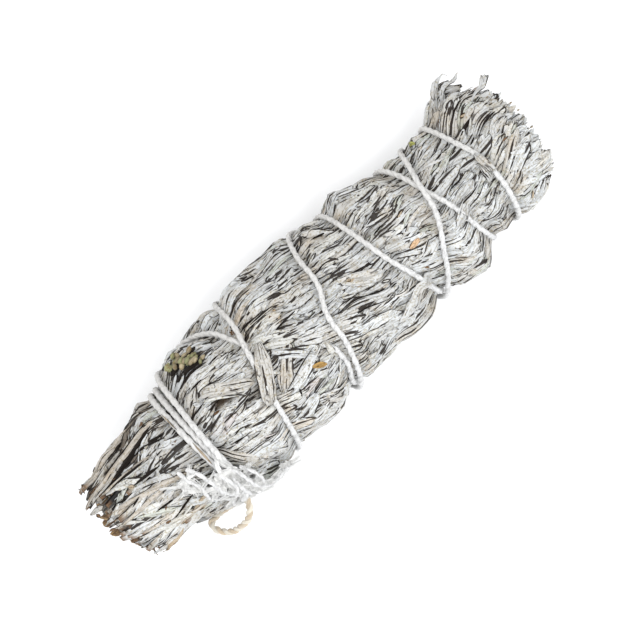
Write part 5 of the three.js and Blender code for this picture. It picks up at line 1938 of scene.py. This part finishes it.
    def lay_picked(self, groups: Picked, sink: float) -> None:
        """Lays the leaves that stand out in the photograph, and near-black slivers of painted shadow in its dark gaps.

        Args:
            groups: their shapes, tones and places.
            sink: how deep their roots are pushed in.
        """
        rng = self.rng
        for kind, tone, rows in groups:
            gap = tone is Tone.GAP_SHADOW
            for x0, y0, x1, y1, width in rows:
                a0, a1 = BUNDLE.angle_of(x0, y0), BUNDLE.angle_of(x1, y1)
                arc = math.radians(a1 - a0) * float(BUNDLE.half_width((x0 + x1) / 2))
                # Shadow slivers keep their near-black colour; the leaves get the painted light and shade of their
                # place.
                value = 1.0 if gap else self.brightness(x0, a0) * rng.uniform(0.96, 1.04)
                free_lift = 0.0 if x1 < 55.5 or y1 < 12.5 else 1.5 if y1 < 15.5 else 2.7
                self.bed.lay(Leaf(
                    kind, x0, a0, math.degrees(math.atan2(arc, x1 - x0)), math.hypot(arc, x1 - x0), width / 2,
                    tuple(value * c for c in tone.value), arch=0.4 if gap or kind is LeafKind.STRIP
                    else rng.uniform(0.03, 0.15) + 0.3 * (kind is LeafKind.WRINKLED),
                    roll=(0.0 if gap else 1.4 * self.face_up(min(a0, a1))) + rng.normal(0, 2),
                    sink=-0.1 if gap else -2.0 if x0 < -57 and not -9.8 < y0 < 10.5 else sink,
                    lift=0.1 if gap else free_lift if free_lift else rng.uniform(0, 0.2), clean=1.9,
                    thickness=0.4 if kind is LeafKind.WRINKLED else 0.12 if gap else 0.18,
                    cut_end=kind is LeafKind.STRIP,
                ))


@dataclass
class PackedBases:
    """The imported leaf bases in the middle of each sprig, which close the bundle's inside."""

    depth: float = 7.6
    start: float = -58.0
    end: float = 48.0

    def build(self, bed: LeafBed) -> None:
        """Adds one closed body to each sprig.

        Args:
            bed: where the sprigs' pieces are gathered.
        """
        bpy.ops.object.select_all(action="DESELECT")
        bpy.ops.mesh.primitive_cube_add(size=1.0, location=(0.5, 0.5, 0.5))
        obj = bpy.context.object
        bpy.ops.object.transform_apply(location=True, rotation=True, scale=True)
        bpy.ops.object.mode_set(mode="EDIT")
        bpy.ops.mesh.select_all(action="SELECT")
        bpy.ops.mesh.subdivide(number_cuts=7)
        bpy.ops.object.mode_set(mode="OBJECT")
        corners, ring, sizes = take_shape(obj)
        corners[:, 1] = 1 - corners[:, 1]
        x = self.start + (self.end - self.start) * corners[:, 0]
        r = BUNDLE.half_width(x)
        for number in range(len(BUNDLE.spans)):
            edges = np.array([BUNDLE.edges(float(v)) for v in x])
            low, high = edges[:, number], edges[:, number + 1]
            self.add(bed, number, x, low + (high - low) * corners[:, 1],
                     r * BUNDLE.inner_share, r - self.depth, corners, ring, sizes)
        span = FULL_TURN / BUNDLE.inner_count
        for number in range(BUNDLE.inner_count):
            degrees = (number + corners[:, 1]) * span + BUNDLE.twist * x
            self.add(bed, len(BUNDLE.spans) + number, x, degrees, np.full_like(x, 0.4),
                     r * BUNDLE.inner_share, corners, ring, sizes)

    @staticmethod
    def add(bed: LeafBed, number: int, x: np.ndarray, degrees: np.ndarray, low: np.ndarray, high: np.ndarray,
            corners: np.ndarray, ring: np.ndarray, sizes: np.ndarray) -> None:
        """Adds one body between two distances from the middle line."""
        r = low + (high - low) * corners[:, 2]
        points = BUNDLE.place(x, degrees, r - BUNDLE.half_width(x))
        # Dark: painted shade of the bundle's inside, seen through the gaps.
        tint = np.tile(0.35 * np.array(Tone.TAN.value), (len(points), 1))
        blade = np.stack([np.radians(degrees) * r, x, np.zeros_like(x)], -1)
        bed.pieces.setdefault(number, Gathered()).add(points, tint, blade, ring, sizes)


@dataclass
class WoodyStems:
    """The sprigs' woody stems, cut off at the butt."""

    radius: float = 0.9
    top: float = 6.0
    outer_share: float = 0.63
    inner_share: float = 0.22
    seed: int = 11

    def model(self) -> tuple[np.ndarray, np.ndarray, np.ndarray]:
        """Models one stem, one long and one round, with a flat cut end and a sunk pith; the cut is slanted where it is
        placed.

        Returns:
            Corners, the corner numbers of its faces, and each face's corner count.
        """
        bpy.ops.object.select_all(action="DESELECT")
        bpy.ops.mesh.primitive_circle_add(
            vertices=14, radius=1.0, fill_type="NGON", rotation=(math.pi / 2, 0, math.pi / 2)
        )
        obj = bpy.context.object
        bpy.ops.object.transform_apply(location=False, rotation=True, scale=False)
        bpy.ops.object.mode_set(mode="EDIT")
        bpy.ops.mesh.select_all(action="SELECT")
        lengths = (0.006, 0.014, 0.03, 0.05, 0.08, 0.12, 0.15, 0.18, 0.18, 0.19)
        reach = 0.0
        for step, length in enumerate(lengths):
            bpy.ops.mesh.extrude_region_move(TRANSFORM_OT_translate={"value": (length, 0, 0)})
            reach += length
            wide = 1.05 if step % 3 == 0 else 0.96
            bpy.ops.transform.resize(value=(1, wide, wide), center_override=(reach, 0, 0))
        bm = bmesh.from_edit_mesh(obj.data)
        bpy.ops.mesh.select_all(action="DESELECT")
        bpy.ops.mesh.select_mode(type="FACE")
        for face in bm.faces:
            face.select_set(len(face.verts) > 8 and face.calc_center_median().x < 0.001)
        bpy.ops.mesh.inset(thickness=0.16, depth=0.0)
        bpy.ops.mesh.inset(thickness=0.30, depth=-0.002)
        bpy.ops.mesh.inset(thickness=0.25, depth=-0.006)
        bpy.ops.mesh.select_all(action="SELECT")
        bpy.ops.mesh.normals_make_consistent(inside=False)
        bpy.ops.object.mode_set(mode="OBJECT")
        return take_shape(obj)

    def build(self, material: bpy.types.Material) -> list[bpy.types.Object]:
        """Builds the twelve stems.

        Args:
            material: their finish.

        Returns:
            The pieces.
        """
        rng = np.random.default_rng(self.seed)
        corners, ring, sizes = self.model()
        made = []
        for number in range(len(BUNDLE.spans) + BUNDLE.inner_count):
            node = f"sprig_{number + 1:02d}_stem"
            low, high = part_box(node)
            start = low.x / MM - BUNDLE.shift_x
            x = start + (self.top - start) * corners[:, 0]
            outer = number < len(BUNDLE.spans)
            if outer:
                edges = np.array([BUNDLE.edges(float(v)) for v in x])
                degrees = (edges[:, number] + edges[:, number + 1]) / 2
                share = self.outer_share
            else:
                degrees = (number - len(BUNDLE.spans) + 0.5) * FULL_TURN / BUNDLE.inner_count + BUNDLE.twist * x
                share = self.inner_share
            centre = BUNDLE.place(x, degrees, BUNDLE.half_width(x) * (share - 1))
            turn = np.arctan2(corners[:, 2], corners[:, 1])
            ridge = 1 + 0.07 * np.sin(5 * turn + number) + 0.05 * np.sin(9 * turn + 6 * corners[:, 0] * number)
            size = self.radius * MM * ridge * (1 - 0.3 * np.clip(corners[:, 0], 0, 1))
            slant = 0.6 * MM * (corners[:, 1] * math.cos(number) + corners[:, 2] * math.sin(number))
            points = centre + np.stack(
                [slant * (corners[:, 0] < 0.02) + 0.6 * MM, corners[:, 1] * size, corners[:, 2] * size], -1
            )
            cut = corners[:, 0] < 0.003
            bark = np.array((0.13, 0.08, 0.045)) * rng.uniform(0.8, 1.3)
            wood = np.array((0.32, 0.22, 0.12)) * rng.uniform(0.85, 1.15)
            tint = np.where(cut[:, None], wood, bark)
            blade = np.stack([turn * self.radius, x, np.full_like(x, number)], -1)
            gathered = Gathered()
            gathered.add(points, tint, blade, ring, sizes)
            piece = gathered.piece(f"sprig_{number + 1:02d}_twig", material, 40)
            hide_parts(node)
            made.append(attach(piece, "root"))
        return made


@dataclass
class BudSpike:
    """A short spike of dried flower buds that sticks out near the upper left edge."""

    start: tuple[float, float] = (-28.9, 30.0)
    end: tuple[float, float] = (-23.6, 46.0)
    count: int = 30
    radius: float = 0.62
    seed: int = 3

    def model(self) -> tuple[np.ndarray, np.ndarray, np.ndarray]:
        """Models one bud, round with a small open mouth.

        Returns:
            Corners, the corner numbers of its faces, and each face's corner count.
        """
        bpy.ops.object.select_all(action="DESELECT")
        bpy.ops.mesh.primitive_uv_sphere_add(segments=8, ring_count=6, radius=1.0)
        obj = bpy.context.object
        bpy.ops.object.mode_set(mode="EDIT")
        bm = bmesh.from_edit_mesh(obj.data)
        LeafCut.pick(bm, lambda co: co.z > 0.95)
        bpy.ops.transform.translate(value=(0, 0, -0.35))
        bm = bmesh.from_edit_mesh(obj.data)
        LeafCut.pick(bm, lambda co: 0.8 < co.z < 0.95)
        bpy.ops.transform.resize(value=(0.75, 0.75, 1.0), center_override=(0, 0, 0.8))
        bpy.ops.transform.translate(value=(0, 0, 0.15))
        bpy.ops.object.mode_set(mode="OBJECT")
        return take_shape(obj)

    def build(self, material: bpy.types.Material) -> bpy.types.Object:
        """Builds the spike.

        Args:
            material: its finish.

        Returns:
            The piece.
        """
        rng = np.random.default_rng(self.seed)
        corners, ring, sizes = self.model()
        gathered = Gathered()
        for i in range(self.count):
            share = i / (self.count - 1)
            x = self.start[0] + share * (self.end[0] - self.start[0]) + rng.uniform(-1.4, 1.4)
            degrees = self.start[1] + share * (self.end[1] - self.start[1]) + rng.uniform(-7, 7)
            out = rng.uniform(-0.7, 0.7) * (1 - 0.4 * share)
            middle = BUNDLE.place(np.array([x]), np.array([degrees]), np.array([out]))[0]
            size = self.radius * rng.uniform(0.8, 1.15) * (1 - 0.28 * share) * MM
            axis = rng.normal(size=3) * 0.3 + np.array([0.9, 0.45, 0.3])
            axis /= np.linalg.norm(axis)
            one = np.cross(axis, [0.2, 0.1, 0.97])
            one /= np.linalg.norm(one)
            two = np.cross(axis, one)
            points = middle + size * (corners[:, :1] * one + corners[:, 1:2] * two + 1.6 * corners[:, 2:] * axis)
            tone = np.array((0.37, 0.37, 0.19)) if rng.random() < 0.6 else np.array((0.44, 0.37, 0.24))
            tone = tone * rng.uniform(0.45, 1.1)
            shade = 0.75 + 0.25 * (corners[:, 2:] * -0.5 + 0.5)
            blade = np.stack([np.arctan2(corners[:, 1], corners[:, 0]) * 0.7, corners[:, 2], np.full(len(points), i)],
                             -1)
            gathered.add(points, tone * shade, blade, ring, sizes)
        piece = gathered.piece("sage_buds", material, 60)
        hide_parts("flower_buds")
        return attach(piece, "root")


def main() -> None:
    """Builds the scene: camera and light, string, sprigs, stems and buds."""
    logging.basicConfig(level=logging.INFO, format="%(name)s: %(message)s")
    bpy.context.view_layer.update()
    Studio().build()
    effects = SharedEffects()
    leaf = DriedLeafFinish().make(effects)
    cotton = CottonFinish().make(effects)
    wood = WoodFinish().make(effects)
    bud = WoodFinish(name="dry bud", ridges_per_mm=4.0, ridge_depth=0.00008, stain=(0.22, 0.15, 0.07)).make(effects)
    lay = StringLay()
    string = CottonString(lay).build(cotton)
    log.info("%s: %d faces", string.name, len(string.data.polygons))
    bed = LeafBed()
    PackedBases().build(bed)
    sprigs = SprigBuilder(bed).build(leaf, lay)
    log.info("%d sprigs", len(sprigs))
    stems = WoodyStems().build(wood)
    log.info("%d stems", len(stems))
    buds = BudSpike().build(bud)
    log.info("%s: %d faces", buds.name, len(buds.data.polygons))


if __name__ == "__main__":
    main()
